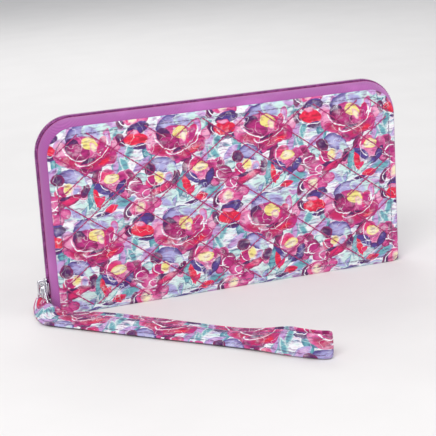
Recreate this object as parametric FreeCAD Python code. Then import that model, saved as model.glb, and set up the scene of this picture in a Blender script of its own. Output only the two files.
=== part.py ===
"""Wristlet wallet: a zip-around quilted wallet that stands on its spine.

Millimetres.  +Z is up, X runs along the wallet, the front cover faces -Y.  The origin
is the middle of the spine's underside, which is what the wallet stands on.
"""
import FreeCAD, Part
import math
import os

Vector = FreeCAD.Vector

# ---- driving dimensions ----
COVER_HALF_WIDTH = 102.3      # half of the covers' length along X
COVER_HEIGHT = 104.0
COVER_TOP_RADIUS = 16.0
COVER_LOW_RADIUS = 4.5
WALLET_DEPTH = 25.0           # across both covers

PANEL_THICK = 2.0             # quilted fabric with its batting
BOARD_THICK = 0.6             # stiffening board behind the panel
LINING_THICK = 0.4
BOARD_INSET = 3.0             # boards and linings stop this far inside a cover's edge

SPINE_HALF_LENGTH = 101.0
SPINE_PANEL_THICK = 2.4
SPINE_LINING_THICK = 0.6
HINGE_CLEARANCE = 0.3         # between the spine and the front cover that turns

CHAIN_OUT_SIDE = 3.2          # chain's middle beyond the covers' edge, at the two ends
CHAIN_OUT_TOP = 3.7           # and along the top
CHAIN_HALF_THICK = 1.0
CHAIN_HALF_GAP = 0.6          # from the middle plane to a chain half
CHAIN_WIDTH = 1.8             # of each half, along Y
TAPE_THICK = 0.8
TAPE_FLAT_END = 5.0           # the tape is flat to this distance from the middle plane
TAPE_LOW_END = 1.0
CHAIN_LOW_END = 8.3
STOP_LOW = 5.2
STOP_HEIGHT = 2.4

SLOT_TIERS = 3
SLOT_THICK = 0.5
SLOT_HALF_WIDTH = 94.0
SLOT_LOW = 7.0
SLOT_TOP = 80.0               # of the highest tier
SLOT_STEP = 13.0              # each tier is this much lower than the one behind it
BILL_POCKET_TOP = 46.0

POCKET_HALF_WIDTH = 92.0
POCKET_HALF_DEPTH = 1.8
POCKET_WALL = 0.6
POCKET_LOW = 4.5
POCKET_TOP = 86.0
POCKET_SEAM = 2.0

GUSSET_OUTER = 100.3
GUSSET_INNER = 95.6
GUSSET_HALF_DEPTH = 9.0
GUSSET_THICK = 0.6
GUSSET_LOW = 4.0
GUSSET_HIGH = 86.0
GUSSET_PLEATS = 2

SLIDER_LOW = 8.0
SLIDER_LENGTH = 11.0
SLIDER_HALF_WIDTH = 4.5
SLIDER_WING = 1.2
SLIDER_CLEARANCE = 0.3        # between the wings and the chain
SLIDER_POST_HALF = 0.3
SLIDER_POST_LENGTH = 3.2
SLIDER_NOSE_HALF = 2.6        # half width at the two ends
SLIDER_NOSE_LENGTH = 4.0      # the wings widen over this length from their low end
SLIDER_TAIL_LENGTH = 1.5

CROWN_HALF_WIDTH = 0.8
CROWN_LOW = 9.8
CROWN_HIGH = 18.4
CROWN_BAR = 1.0               # thickness of the crown's bridge and feet
CROWN_WINDOW = 3.2            # clear depth between the crown and the slider's wing
CROWN_FILLET = 0.8

PULL_PIVOT_Z = 14.6
PULL_BAR_RADIUS = 0.5
PULL_THICK = 0.9
PULL_LENGTH = 7.2
PULL_EAR_GAP = 1.05
PULL_EAR_OUTER = 1.75
PULL_HALF_WIDTH = 2.5
PULL_HOLE_RADIUS = 1.25
PULL_HOLE_LOWER = 0.4         # the hole's middle below the disc's
PULL_SLOT_LOW = 9.4           # the slot round the crown starts at this height

RING_WIRE_RADIUS = 0.6
RING_APEX_Z = 16.2
RING_BAR_Z = 5.0
RING_APEX_HALF = 2.5
RING_BAR_HALF = 7.6
RING_BEND_RADIUS = 1.0
RING_YAW = 10.0               # degrees: the ring's front end turned towards the wallet

STRAP_WIDTH = 12.7
STRAP_THICK = 1.6
STRAP_FOLD_RADIUS = 2.7       # each leg lies this far from the line between them
STRAP_CLEAR_OF_TABLE = 0.6
STRAP_SLEEVE_INNER = 0.8
STRAP_SLEEVE_OUTER = 2.1
STRAP_SLEEVE_HALF = 5.6       # the strip is bunched a little where it goes round the bar
STRAP_LOW_TOP = 7.5           # the strap leans over here, so that it is lower
STRAP_LEAN_END_Y = -31.0
STRAP_NECK_X = (-3.2, -1.2)   # from the upright line that the ring hangs on
STRAP_NECK_END_Y = -9.6
STRAP_NECK_Z = (2.9, 6.5)
STRAP_ROOT_X = (-4.5, 0.8)
STRAP_ROOT_Y = (-9.4, -18.5)
STRAP_ROOT_HIGH = 6.0

COIN_CHAIN_LOW = 87.6
COIN_CHAIN_HIGH = 89.4
COIN_CHAIN_HALF_GAP = 0.45
COIN_CHAIN_END = 88.0
COIN_SLIDER_START = -84.0
COIN_SLIDER_LENGTH = 8.0
COIN_SLIDER_WING = 0.9
COIN_SLIDER_HALF_WIDTH = 2.4
COIN_SLIDER_UNDER_HALF = 0.9  # the lower wing fits between the pocket's walls
COIN_POST_HALF = 0.15
COIN_POST_LENGTH = 1.5
COIN_CROWN_INSET = 1.0        # from each end of the slider
COIN_CROWN_HALF = 0.6
COIN_CROWN_RISE = 2.5
COIN_CROWN_BAR = 0.8
COIN_PIVOT_IN = 2.8           # from the slider's leading end
COIN_PULL_LENGTH = 14.0
COIN_PULL_HALF_WIDTH = 1.9
COIN_PULL_HALF_THICK = 0.4
COIN_PULL_BAR_RADIUS = 0.45
COIN_PULL_BAR_HALF = 1.3
COIN_PULL_EAR_GAP = 0.85
COIN_PULL_EAR_LENGTH = 3.6
COIN_PULL_EYE_RADIUS = 0.9
COIN_PULL_EYE_IN = 2.2        # from the pull's free end

# ---- places that follow from them ----
FACE_Y = WALLET_DEPTH / 2
PANEL_Y = FACE_Y - PANEL_THICK
BOARD_Y = PANEL_Y - BOARD_THICK
LINING_Y = BOARD_Y - LINING_THICK
SPINE_TOP = SPINE_PANEL_THICK + SPINE_LINING_THICK
CHAIN_X = -(COVER_HALF_WIDTH + CHAIN_OUT_SIDE)
WING_INNER_X = CHAIN_X + CHAIN_HALF_THICK + SLIDER_CLEARANCE
WING_OUTER_X = CHAIN_X - CHAIN_HALF_THICK - SLIDER_CLEARANCE
CROWN_BASE_X = WING_OUTER_X - SLIDER_WING
HANG_X = CROWN_BASE_X - CROWN_WINDOW / 2     # where the tab and the ring hang

# The line midway between the strap's two legs, on the table, from the ring outwards.
STRAP_ROUTE = [
    (-109.3, -17.5), (-104.3, -23.9), (-97.0, -31.6), (-86.0, -43.3), (-71.0, -59.2),
    (-54.3, -76.4), (-39.0, -92.0), (-28.2, -103.6), (-20.6, -113.2), (-15.2, -124.0),
    (-9.8, -133.6), (-2.6, -140.5), (2.6, -143.4),
]


def box(x0, x1, y0, y1, z0, z1):
    """A block between two corners, given in any order."""
    low = Vector(min(x0, x1), min(y0, y1), min(z0, z1))
    return Part.makeBox(abs(x1 - x0), abs(y1 - y0), abs(z1 - z0), low)


def polygon(points):
    """A closed wire through the points."""
    vectors = [Vector(*p) for p in points]
    return Part.makePolygon(vectors + vectors[:1])


def outline(y, grow_side=0.0, grow_top=0.0, low=0.0, low_radius=COVER_LOW_RADIUS):
    """The covers' outline in the plane y, grown at the ends and the top."""
    half = COVER_HALF_WIDTH + grow_side
    top = COVER_HEIGHT + grow_top
    radius = COVER_TOP_RADIUS + (grow_side + grow_top) / 2
    corners = [(half, low, low_radius), (half, top, radius), (-half, top, radius), (-half, low, low_radius)]
    edges = []
    starts = []
    ends = []
    for x, z, r in corners:
        along_x = Vector(x - math.copysign(r, x), y, z)
        rises = z + r if z == low else z - r
        along_z = Vector(x, y, rises)
        slant = r * (1 - math.sqrt(0.5))
        middle = Vector(x - math.copysign(slant, x), y, z + slant if z == low else z - slant)
        first, last = (along_x, along_z) if (z == low) == (x > 0) else (along_z, along_x)
        edges.append(Part.Arc(first, middle, last).toShape())
        starts.append(first)
        ends.append(last)
    lines = [Part.LineSegment(ends[i], starts[(i + 1) % 4]).toShape() for i in range(4)]
    ordered = []
    for arc, line in zip(edges, lines):
        ordered += [arc, line]
    return Part.Wire(ordered)


def plate(y0, y1, inset=0.0, low=0.0, low_radius=COVER_LOW_RADIUS):
    """A flat layer of a cover, between two planes."""
    face = Part.Face(outline(y0, -inset, -inset, low, low_radius))
    return face.extrude(Vector(0, y1 - y0, 0))


def above(shape, z):
    """The part of a shape above a height."""
    return shape.cut(box(-200, 200, -50, 50, -60, z))


def band(y0, y1, inner, outer):
    """A strip round the two ends and the top, between two distances from the covers' edge."""
    skirt = dict(low=-20.0, low_radius=1.0)
    outer_solid = Part.Face(outline(y0, outer[0], outer[1], **skirt)).extrude(Vector(0, y1 - y0, 0))
    inner_solid = Part.Face(outline(y0, inner[0], inner[1], **skirt)).extrude(Vector(0, y1 - y0, 0))
    return outer_solid.cut(inner_solid)


def flare(y0, y1, start, end):
    """A solid whose outline grows from start to end between two planes."""
    skirt = dict(low=-20.0, low_radius=1.0)
    wires = [outline(y0, start[0], start[1], **skirt), outline(y1, end[0], end[1], **skirt)]
    return Part.makeLoft(wires, True, True)


# ---- covers and spine ----
def cover_layers(name, side):
    """Quilted panel, stiffening board and lining of one cover; side is -1 in front."""
    return {
        name + "_outer_panel": plate(side * FACE_Y, side * PANEL_Y),
        name + "_board": plate(side * PANEL_Y, side * BOARD_Y, BOARD_INSET, BOARD_INSET + 2),
        name + "_lining": plate(side * BOARD_Y, side * LINING_Y, BOARD_INSET, BOARD_INSET + 2),
    }


def card_slots(name, side):
    """Tiers of card slots on a lining, each lower than the one behind it, then the bill pocket."""
    parts = {}
    y = LINING_Y
    for tier in range(SLOT_TIERS):
        top = SLOT_TOP - tier * SLOT_STEP
        parts[f"{name}_card_slot_{tier + 1}"] = box(
            -SLOT_HALF_WIDTH, SLOT_HALF_WIDTH, side * y, side * (y - SLOT_THICK), SLOT_LOW, top)
        y -= SLOT_THICK
    parts[name + "_slip_pocket"] = box(
        -SLOT_HALF_WIDTH, SLOT_HALF_WIDTH, side * y, side * (y - SLOT_THICK), SLOT_LOW, BILL_POCKET_TOP)
    return parts


def spine():
    """The strip under the wallet, from the back cover to just short of the front one."""
    front = -(LINING_Y - HINGE_CLEARANCE)
    back = PANEL_Y
    panel = box(-SPINE_HALF_LENGTH, SPINE_HALF_LENGTH, front, back, 0, SPINE_PANEL_THICK)
    lining = box(-SPINE_HALF_LENGTH + 2, SPINE_HALF_LENGTH - 2, front + 1, LINING_Y,
                 SPINE_PANEL_THICK, SPINE_TOP)
    return {"spine_panel": panel, "spine_lining": lining}


# ---- main zip ----
def zip_tape(side):
    """One tape: flat beside the chain, then sloping in to the cover's edge."""
    outer = (CHAIN_OUT_SIDE + TAPE_THICK / 2, CHAIN_OUT_TOP + TAPE_THICK / 2)
    inner = (outer[0] - TAPE_THICK, outer[1] - TAPE_THICK)
    chain_edge = side * (CHAIN_HALF_GAP + CHAIN_WIDTH)
    flat_edge = side * TAPE_FLAT_END
    cover_edge = side * PANEL_Y
    flat = band(chain_edge, flat_edge, inner, outer)
    slope = flare(flat_edge, cover_edge, outer, (0, 0)).cut(
        flare(flat_edge, cover_edge, inner, (-TAPE_THICK, -TAPE_THICK)))
    return above(flat.fuse(slope), TAPE_LOW_END)


def zip_chain(side):
    """One half of the coil chain, round the two ends and the top."""
    outer = (CHAIN_OUT_SIDE + CHAIN_HALF_THICK, CHAIN_OUT_TOP + CHAIN_HALF_THICK)
    inner = (outer[0] - 2 * CHAIN_HALF_THICK, outer[1] - 2 * CHAIN_HALF_THICK)
    chain = band(side * CHAIN_HALF_GAP, side * (CHAIN_HALF_GAP + CHAIN_WIDTH), inner, outer)
    return above(chain, CHAIN_LOW_END)


def zip_stops(side):
    """The clamps at the two ends of one chain half."""
    clamps = []
    for end in (-1, 1):
        x = end * abs(CHAIN_X)
        clamps.append(box(x - CHAIN_HALF_THICK, x + CHAIN_HALF_THICK, side * CHAIN_HALF_GAP,
                          side * (CHAIN_HALF_GAP + CHAIN_WIDTH), STOP_LOW, STOP_LOW + STOP_HEIGHT))
    return Part.makeCompound(clamps)


# ---- inside ----
def gusset(side):
    """A pleated side wall between the covers, drawn in plan and raised."""
    steps = 2 * GUSSET_PLEATS
    line = []
    for i in range(steps + 1):
        y = -GUSSET_HALF_DEPTH + i * 2 * GUSSET_HALF_DEPTH / steps
        line.append((GUSSET_OUTER if i % 2 == 0 else GUSSET_INNER, y))
    near = [(side * x, y, GUSSET_LOW) for x, y in line]
    far = [(side * (x - GUSSET_THICK), y, GUSSET_LOW) for x, y in reversed(line)]
    return Part.Face(polygon(near + far)).extrude(Vector(0, 0, GUSSET_HIGH - GUSSET_LOW))


def pocket():
    """The zipped coin pocket in the middle: two walls and the seam that joins them."""
    inner = POCKET_HALF_DEPTH - POCKET_WALL
    half = POCKET_HALF_WIDTH
    seam = box(-half, half, -inner, inner, POCKET_LOW, POCKET_TOP)
    hollow = box(-half + POCKET_SEAM, half - POCKET_SEAM, -inner, inner, POCKET_LOW + POCKET_SEAM, POCKET_TOP)
    return {
        "pocket_front_wall": box(-half, half, -POCKET_HALF_DEPTH, -inner, POCKET_LOW, POCKET_TOP),
        "pocket_back_wall": box(-half, half, inner, POCKET_HALF_DEPTH, POCKET_LOW, POCKET_TOP),
        "pocket_seam": seam.cut(hollow),
    }


def coin_zip():
    """Tapes, chain halves and stops of the coin pocket's zip."""
    inner = POCKET_HALF_DEPTH - POCKET_WALL
    half = POCKET_HALF_WIDTH
    end = COIN_CHAIN_END
    tapes = []
    chains = []
    for side in (-1, 1):
        tapes.append(box(-half, half, side * inner, side * POCKET_HALF_DEPTH, POCKET_TOP, COIN_CHAIN_HIGH))
        chains.append(box(-end, end, side * COIN_CHAIN_HALF_GAP, side * inner, COIN_CHAIN_LOW, COIN_CHAIN_HIGH))
    stops = [box(side * end, side * (end + 2), -inner, inner, COIN_CHAIN_LOW, COIN_CHAIN_HIGH)
             for side in (-1, 1)]
    return {
        "coin_zip_tape": Part.makeCompound(tapes),
        "coin_zip_chain": Part.makeCompound(chains),
        "coin_zip_stops": Part.makeCompound(stops),
    }


def coin_slider():
    """The small slider on the coin zip: body, crown and its flat pull."""
    x0 = COIN_SLIDER_START
    x1 = x0 + COIN_SLIDER_LENGTH
    half = COIN_SLIDER_HALF_WIDTH
    under = COIN_SLIDER_UNDER_HALF
    top = COIN_CHAIN_HIGH + SLIDER_CLEARANCE + COIN_SLIDER_WING
    low = COIN_CHAIN_LOW - SLIDER_CLEARANCE
    upper = box(x0, x1, -half, half, top - COIN_SLIDER_WING, top)
    lower = box(x0, x1, -under, under, low - COIN_SLIDER_WING, low)
    post = box(x0, x0 + COIN_POST_LENGTH, -COIN_POST_HALF, COIN_POST_HALF, low, top - COIN_SLIDER_WING)
    left = x0 + COIN_CROWN_INSET
    right = x1 - COIN_CROWN_INSET
    crown_high = top + COIN_CROWN_RISE
    window_high = crown_high - COIN_CROWN_BAR
    crown = box(left, right, -COIN_CROWN_HALF, COIN_CROWN_HALF, top, crown_high)
    crown = crown.cut(box(left + COIN_CROWN_BAR, right - COIN_CROWN_BAR, -1, 1, top, window_high))
    pivot = Vector(x1 - COIN_PIVOT_IN, 0, (top + window_high) / 2)
    return {
        "coin_slider_body": upper.fuse(lower).fuse(post),
        "coin_slider_crown": crown,
        "coin_slider_pull": coin_pull(pivot),
    }


def coin_pull(pivot):
    """A flat pull that lies along +X, with an eye round the crown."""
    thick = COIN_PULL_HALF_THICK
    half = COIN_PULL_HALF_WIDTH
    ear_end = pivot.x + COIN_PULL_EAR_LENGTH
    bar = Part.makeCylinder(COIN_PULL_BAR_RADIUS, 2 * COIN_PULL_BAR_HALF,
                            pivot - Vector(0, COIN_PULL_BAR_HALF, 0), Vector(0, 1, 0))
    ears = []
    for side in (-1, 1):
        ears.append(box(pivot.x - COIN_PULL_BAR_RADIUS, ear_end, side * COIN_PULL_EAR_GAP, side * half,
                        pivot.z - thick, pivot.z + thick))
    blade = box(ear_end, pivot.x + COIN_PULL_LENGTH, -half, half, pivot.z - thick, pivot.z + thick)
    eye_middle = pivot + Vector(COIN_PULL_LENGTH - COIN_PULL_EYE_IN, 0, -1)
    eye = Part.makeCylinder(COIN_PULL_EYE_RADIUS, 2, eye_middle, Vector(0, 0, 1))
    return bar.fuse(ears).fuse(blade).cut(eye)


# ---- slider, pull and ring of the main zip ----
def slider_body():
    """Two wings, one each side of the chain, joined by the post at the leading end."""
    high = SLIDER_LOW + SLIDER_LENGTH
    nose = SLIDER_NOSE_HALF
    half = SLIDER_HALF_WIDTH
    wide_from = SLIDER_LOW + SLIDER_NOSE_LENGTH
    wide_to = high - SLIDER_TAIL_LENGTH
    wings = []
    for inner_x, thick in ((WING_INNER_X, SLIDER_WING), (WING_OUTER_X, -SLIDER_WING)):
        shape = polygon([
            (inner_x, -nose, SLIDER_LOW), (inner_x, nose, SLIDER_LOW),
            (inner_x, half, wide_from), (inner_x, half, wide_to),
            (inner_x, nose, high), (inner_x, -nose, high),
            (inner_x, -half, wide_to), (inner_x, -half, wide_from)])
        wings.append(Part.Face(shape).extrude(Vector(thick, 0, 0)))
    post = box(WING_OUTER_X, WING_INNER_X, -SLIDER_POST_HALF, SLIDER_POST_HALF, high - SLIDER_POST_LENGTH, high)
    return wings[0].fuse(wings[1]).fuse(post)


def slider_crown():
    """The bridge on the outer wing that the tab and the ring hang from."""
    outer_x = CROWN_BASE_X - CROWN_WINDOW - CROWN_BAR
    bridge = box(CROWN_BASE_X, outer_x, -CROWN_HALF_WIDTH, CROWN_HALF_WIDTH, CROWN_LOW, CROWN_HIGH)
    window = box(CROWN_BASE_X, CROWN_BASE_X - CROWN_WINDOW, -2, 2, CROWN_LOW + CROWN_BAR, CROWN_HIGH - CROWN_BAR)
    bridge = bridge.cut(window)
    tips = [e for e in bridge.Edges
            if abs(e.CenterOfMass.x - outer_x) < 1e-6 and abs(e.CenterOfMass.y) < 1e-6]
    return bridge.makeFillet(CROWN_FILLET, tips)


def yawed(shape):
    """Turned by the ring's yaw about the upright line through the crown's window."""
    turned = shape.copy()
    turned.rotate(Vector(HANG_X, 0, 0), Vector(0, 0, 1), RING_YAW)
    return turned


def pull_tab():
    """Teardrop tab: a bar through the crown, two ears past it, and a blade with a hole."""
    x0 = HANG_X - PULL_THICK / 2
    bar = Part.makeCylinder(PULL_BAR_RADIUS, 2 * PULL_EAR_OUTER,
                            Vector(HANG_X, -PULL_EAR_OUTER, PULL_PIVOT_Z), Vector(0, 1, 0))
    low = PULL_PIVOT_Z - PULL_LENGTH
    centre = low + PULL_HALF_WIDTH
    parts = []
    for side in (-1, 1):
        parts.append(Part.Face(polygon([
            (x0, side * PULL_EAR_GAP, PULL_PIVOT_Z), (x0, side * PULL_EAR_OUTER, PULL_PIVOT_Z),
            (x0, side * PULL_HALF_WIDTH, centre), (x0, side * PULL_EAR_GAP, centre),
        ])).extrude(Vector(PULL_THICK, 0, 0)))
    disc = Part.makeCylinder(PULL_HALF_WIDTH, PULL_THICK, Vector(x0, 0, centre), Vector(1, 0, 0))
    disc = disc.cut(box(x0 - 1, x0 + 2, -PULL_EAR_GAP, PULL_EAR_GAP, PULL_SLOT_LOW, centre + 5))
    hole = Part.makeCylinder(PULL_HOLE_RADIUS, 3, Vector(x0 - 1, 0, centre - PULL_HOLE_LOWER), Vector(1, 0, 0))
    return bar.fuse(parts).fuse(disc.cut(hole))


def rounded_path(points, corner_radii, closed=False):
    """Straight runs joined by tangent arcs, as one wire."""
    count = len(points)
    vectors = [Vector(*p) for p in points]
    edges = []
    corners = range(count) if closed else range(1, count - 1)
    trimmed = {}
    for i in corners:
        before, here, after = vectors[i - 1], vectors[i], vectors[(i + 1) % count]
        to_before = (before - here).normalize()
        to_after = (after - here).normalize()
        half = to_before.getAngle(to_after) / 2
        reach = corner_radii[i] / math.tan(half)
        start = here + to_before * reach
        end = here + to_after * reach
        bisector = (to_before + to_after).normalize()
        middle = here + bisector * (corner_radii[i] / math.sin(half) - corner_radii[i])
        trimmed[i] = (start, middle, end)
    spans = count if closed else count - 1
    for i in range(spans):
        j = (i + 1) % count
        if i in trimmed:
            edges.append(Part.Arc(*trimmed[i]).toShape())
        a = trimmed[i][2] if i in trimmed else vectors[i]
        b = trimmed[j][0] if j in trimmed else vectors[j]
        edges.append(Part.LineSegment(a, b).toShape())
    return Part.Wire(edges)


def swept(path, profile, up):
    """A profile carried along a flat path, kept upright."""
    sweep = Part.BRepOffsetAPI.MakePipeShell(path)
    sweep.setBiNormalMode(up)
    sweep.add(profile)
    sweep.build()
    sweep.makeSolid()
    return sweep.shape()


def triangle_ring():
    """Wire bent into a triangle: a short top through the crown and a long bar for the strap."""
    points = [(HANG_X, 0, RING_BAR_Z), (HANG_X, -RING_BAR_HALF, RING_BAR_Z),
              (HANG_X, -RING_APEX_HALF, RING_APEX_Z), (HANG_X, RING_APEX_HALF, RING_APEX_Z),
              (HANG_X, RING_BAR_HALF, RING_BAR_Z)]
    path = rounded_path(points + points[:1], [RING_BEND_RADIUS] * 6)
    profile = Part.Wire(Part.makeCircle(RING_WIRE_RADIUS, Vector(*points[0]), Vector(0, 1, 0)))
    return yawed(swept(path, profile, Vector(1, 0, 0)))


# ---- wrist strap ----
def offset_point(points, index, distance):
    """A route point moved sideways, along the mean of its two runs' left normals."""
    normals = []
    for a, b in ((index - 1, index), (index, index + 1)):
        if a >= 0 and b < len(points):
            run = Vector(points[b][0] - points[a][0], points[b][1] - points[a][1], 0).normalize()
            normals.append(Vector(-run.y, run.x, 0))
    mean = sum(normals[1:], normals[0]).normalize()
    stretch = distance / mean.dot(normals[0])
    return (points[index][0] + mean.x * stretch, points[index][1] + mean.y * stretch)


def strap_legs():
    """Both legs and the fold at the far end, as one flat strip standing on its edge."""
    last = len(STRAP_ROUTE)
    out_leg = [offset_point(STRAP_ROUTE, i, -STRAP_FOLD_RADIUS) for i in range(last)]
    back_leg = [offset_point(STRAP_ROUTE, i, STRAP_FOLD_RADIUS) for i in reversed(range(last))]
    z = STRAP_CLEAR_OF_TABLE + STRAP_WIDTH / 2
    points = [(x, y, z) for x, y in out_leg + back_leg]
    radii = [0.0] * len(points)
    for i in range(1, len(points) - 1):
        before = Vector(*points[i - 1]) - Vector(*points[i])
        after = Vector(*points[i + 1]) - Vector(*points[i])
        turn = math.pi - before.getAngle(after)
        radii[i] = 0.45 * min(before.Length, after.Length) / math.tan(turn / 2)
    print("strap bend radii", [round(r, 1) for r in radii[1:-1]])
    path = rounded_path(points, radii)
    start = Vector(*points[0])
    run = (Vector(*points[1]) - start).normalize()
    across = Vector(-run.y, run.x, 0) * (STRAP_THICK / 2)
    up = Vector(0, 0, STRAP_WIDTH / 2)
    corners = [start + across + up, start - across + up, start - across - up, start + across - up]
    profile = Part.makePolygon(corners + corners[:1])
    strip = swept(path, profile, Vector(0, 0, 1))
    expected = path.Length * STRAP_WIDTH * STRAP_THICK
    print("strap length", round(path.Length, 1), "volume ratio", round(strip.Volume / expected, 4))
    leaning = box(-130, 60, STRAP_LEAN_END_Y, 0, STRAP_LOW_TOP, 30)
    return strip.cut(leaning)


def wrist_strap():
    """The strip: sewn round the ring's bar, drawn past the ring's corner, then the loop."""
    bar = Vector(HANG_X, -STRAP_SLEEVE_HALF, RING_BAR_Z)
    length = 2 * STRAP_SLEEVE_HALF
    along = Vector(0, 1, 0)
    sleeve = Part.makeCylinder(STRAP_SLEEVE_OUTER, length, bar, along).cut(
        Part.makeCylinder(STRAP_SLEEVE_INNER, length, bar, along))
    neck = box(HANG_X + STRAP_NECK_X[0], HANG_X + STRAP_NECK_X[1], -STRAP_SLEEVE_HALF, STRAP_NECK_END_Y,
               STRAP_NECK_Z[0], STRAP_NECK_Z[1])
    root = box(HANG_X + STRAP_ROOT_X[0], HANG_X + STRAP_ROOT_X[1], STRAP_ROOT_Y[0], STRAP_ROOT_Y[1],
               STRAP_CLEAR_OF_TABLE, STRAP_ROOT_HIGH)
    return yawed(sleeve.fuse(neck).fuse(root)).fuse(strap_legs())


def build():
    """Every sub-part by name."""
    parts = {}
    for name, side in (("front", -1), ("back", 1)):
        parts.update(cover_layers(name, side))
        parts.update(card_slots(name, side))
        parts[name + "_zip_tape"] = zip_tape(side)
        parts[name + "_zip_chain"] = zip_chain(side)
        parts[name + "_zip_stops"] = zip_stops(side)
    parts.update(spine())
    parts["gusset_left"] = gusset(-1)
    parts["gusset_right"] = gusset(1)
    parts.update(pocket())
    parts.update(coin_zip())
    parts.update(coin_slider())
    parts["slider_body"] = slider_body()
    parts["slider_crown"] = slider_crown()
    parts["pull_tab"] = pull_tab()
    parts["triangle_ring"] = triangle_ring()
    parts["wrist_strap"] = wrist_strap()
    return parts


os.makedirs("parts", exist_ok=True)
for node, shape in build().items():
    if not shape.isValid():
        print("not valid:", node)
    shape.exportStep(os.path.join("parts", node + ".step"))
    print(node, len(shape.Solids), round(shape.Volume, 1))
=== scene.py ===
"""A quilted wristlet wallet: a zip-around wallet on its spine, with its wrist strap lying in front.

Lengths in the tables are millimetres unless a name ends in _M; meshes are built in metres.
"""
import math

import bmesh
import bpy
import numpy as np
from mathutils import Matrix


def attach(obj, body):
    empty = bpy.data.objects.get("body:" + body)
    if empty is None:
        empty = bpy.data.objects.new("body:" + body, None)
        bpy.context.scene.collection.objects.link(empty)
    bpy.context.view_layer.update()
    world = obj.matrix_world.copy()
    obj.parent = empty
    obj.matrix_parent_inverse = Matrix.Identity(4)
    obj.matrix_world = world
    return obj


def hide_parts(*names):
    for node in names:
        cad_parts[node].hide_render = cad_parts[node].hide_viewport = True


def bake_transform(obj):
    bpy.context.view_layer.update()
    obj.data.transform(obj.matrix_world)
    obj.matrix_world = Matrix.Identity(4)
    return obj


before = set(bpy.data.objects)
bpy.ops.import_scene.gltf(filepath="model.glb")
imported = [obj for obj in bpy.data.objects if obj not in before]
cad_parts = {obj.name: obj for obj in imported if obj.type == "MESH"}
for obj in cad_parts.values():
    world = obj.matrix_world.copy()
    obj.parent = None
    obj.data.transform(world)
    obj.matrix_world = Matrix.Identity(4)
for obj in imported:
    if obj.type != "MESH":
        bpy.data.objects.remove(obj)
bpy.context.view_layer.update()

MM = 0.001

# ---- sizes that the part gives ----
HALF_WIDTH = 102.3
HEIGHT = 104.0
TOP_RADIUS = 16.0
LOW_RADIUS = 4.5
PANEL_Y = 10.5
BOARD_Y = 9.9
LINING_Y = 9.5
CHAIN_OUT_TOP = 3.7
CHAIN_OUT_SIDE = 3.2
CHAIN_LOW = 8.3
CHAIN_X = -(HALF_WIDTH + CHAIN_OUT_SIDE)
HANG_X = CHAIN_X - 4.1
RING_BAR_Z = 5.0
RING_YAW = math.radians(10.0)
STRAP_HALF_WIDTH = 6.35
STRAP_THICK = 1.6
STRAP_LEG_OFFSET = 2.7
STRAP_OFF_TABLE = 0.6

# ---- quilting ----
DIAMOND_WIDE = 33.0
DIAMOND_HIGH = 24.8
QUILT_TOP_Z = 102.0
PILLOW = 0.8
EDGE_ROLL = 1.8
EDGE_STITCH_IN = 4.0

# The line midway between the strap's legs, and how steeply the strip stands there, in degrees.
STRAP_ROUTE = [
    (-109.3, -17.5, 2), (-104.3, -23.9, 6), (-97.0, -31.6, 14), (-86.0, -43.3, 19),
    (-71.0, -59.2, 19), (-54.3, -76.4, 17), (-39.0, -92.0, 14), (-28.2, -103.6, 17),
    (-20.6, -113.2, 32), (-15.2, -124.0, 62), (-9.8, -133.6, 86), (-2.6, -140.5, 90),
    (2.6, -143.4, 90),
]
# The strip round the ring's bar: its middle and half its width, each along the bar, outwards and up.
STRAP_WRAP = [
    ((0.3, -1.9, 4.5), (5.5, 0.0, 0.0)), ((0.1, -1.5, 6.9), (5.6, 0.0, 0.0)),
    ((0.0, 1.3, 7.3), (5.6, 0.0, 0.0)), ((0.0, 2.4, 5.3), (5.7, 0.0, 0.2)),
    ((0.6, 3.2, 3.9), (5.4, -1.0, 1.9)), ((4.6, 3.9, 3.7), (3.7, -3.2, 3.0)),
    ((10.5, 3.6, 3.9), (1.2, -4.9, 3.6)),
]
STRAP_TAIL = [((9.6, 0.9, 2.9), (0.9, -5.0, 2.8)), ((4.6, 1.2, 2.2), (2.6, -4.2, 1.6))]
STRAP_UNSEWN = 17.0             # without stitches at each end, round the ring's bar


def srgb(red, green, blue):
    """A screen colour as the shader's linear one, with alpha 1."""
    linear = [c / 12.92 if c <= 0.04045 else ((c + 0.055) / 1.055) ** 2.4 for c in (red, green, blue)]
    return (*linear, 1.0)


# ---------------------------------------------------------------- shader maths
class Socket:
    """A node's output; arithmetic on it adds Math nodes."""

    def __init__(self, material, output):
        self.material = material
        self.output = output

    def _math(self, operation, *values):
        return self.material.node("ShaderNodeMath", {"operation": operation}, dict(enumerate(values)))

    def __add__(self, other):
        return self._math("ADD", self, other)

    def __sub__(self, other):
        return self._math("SUBTRACT", self, other)

    def __rsub__(self, other):
        return self._math("SUBTRACT", other, self)

    def __mul__(self, other):
        return self._math("MULTIPLY", self, other)

    def __pow__(self, other):
        return self._math("POWER", self, other)

    def __abs__(self):
        return self._math("ABSOLUTE", self)

    __radd__ = __add__
    __rmul__ = __mul__

    def sine(self):
        return self._math("SINE", self)


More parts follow.
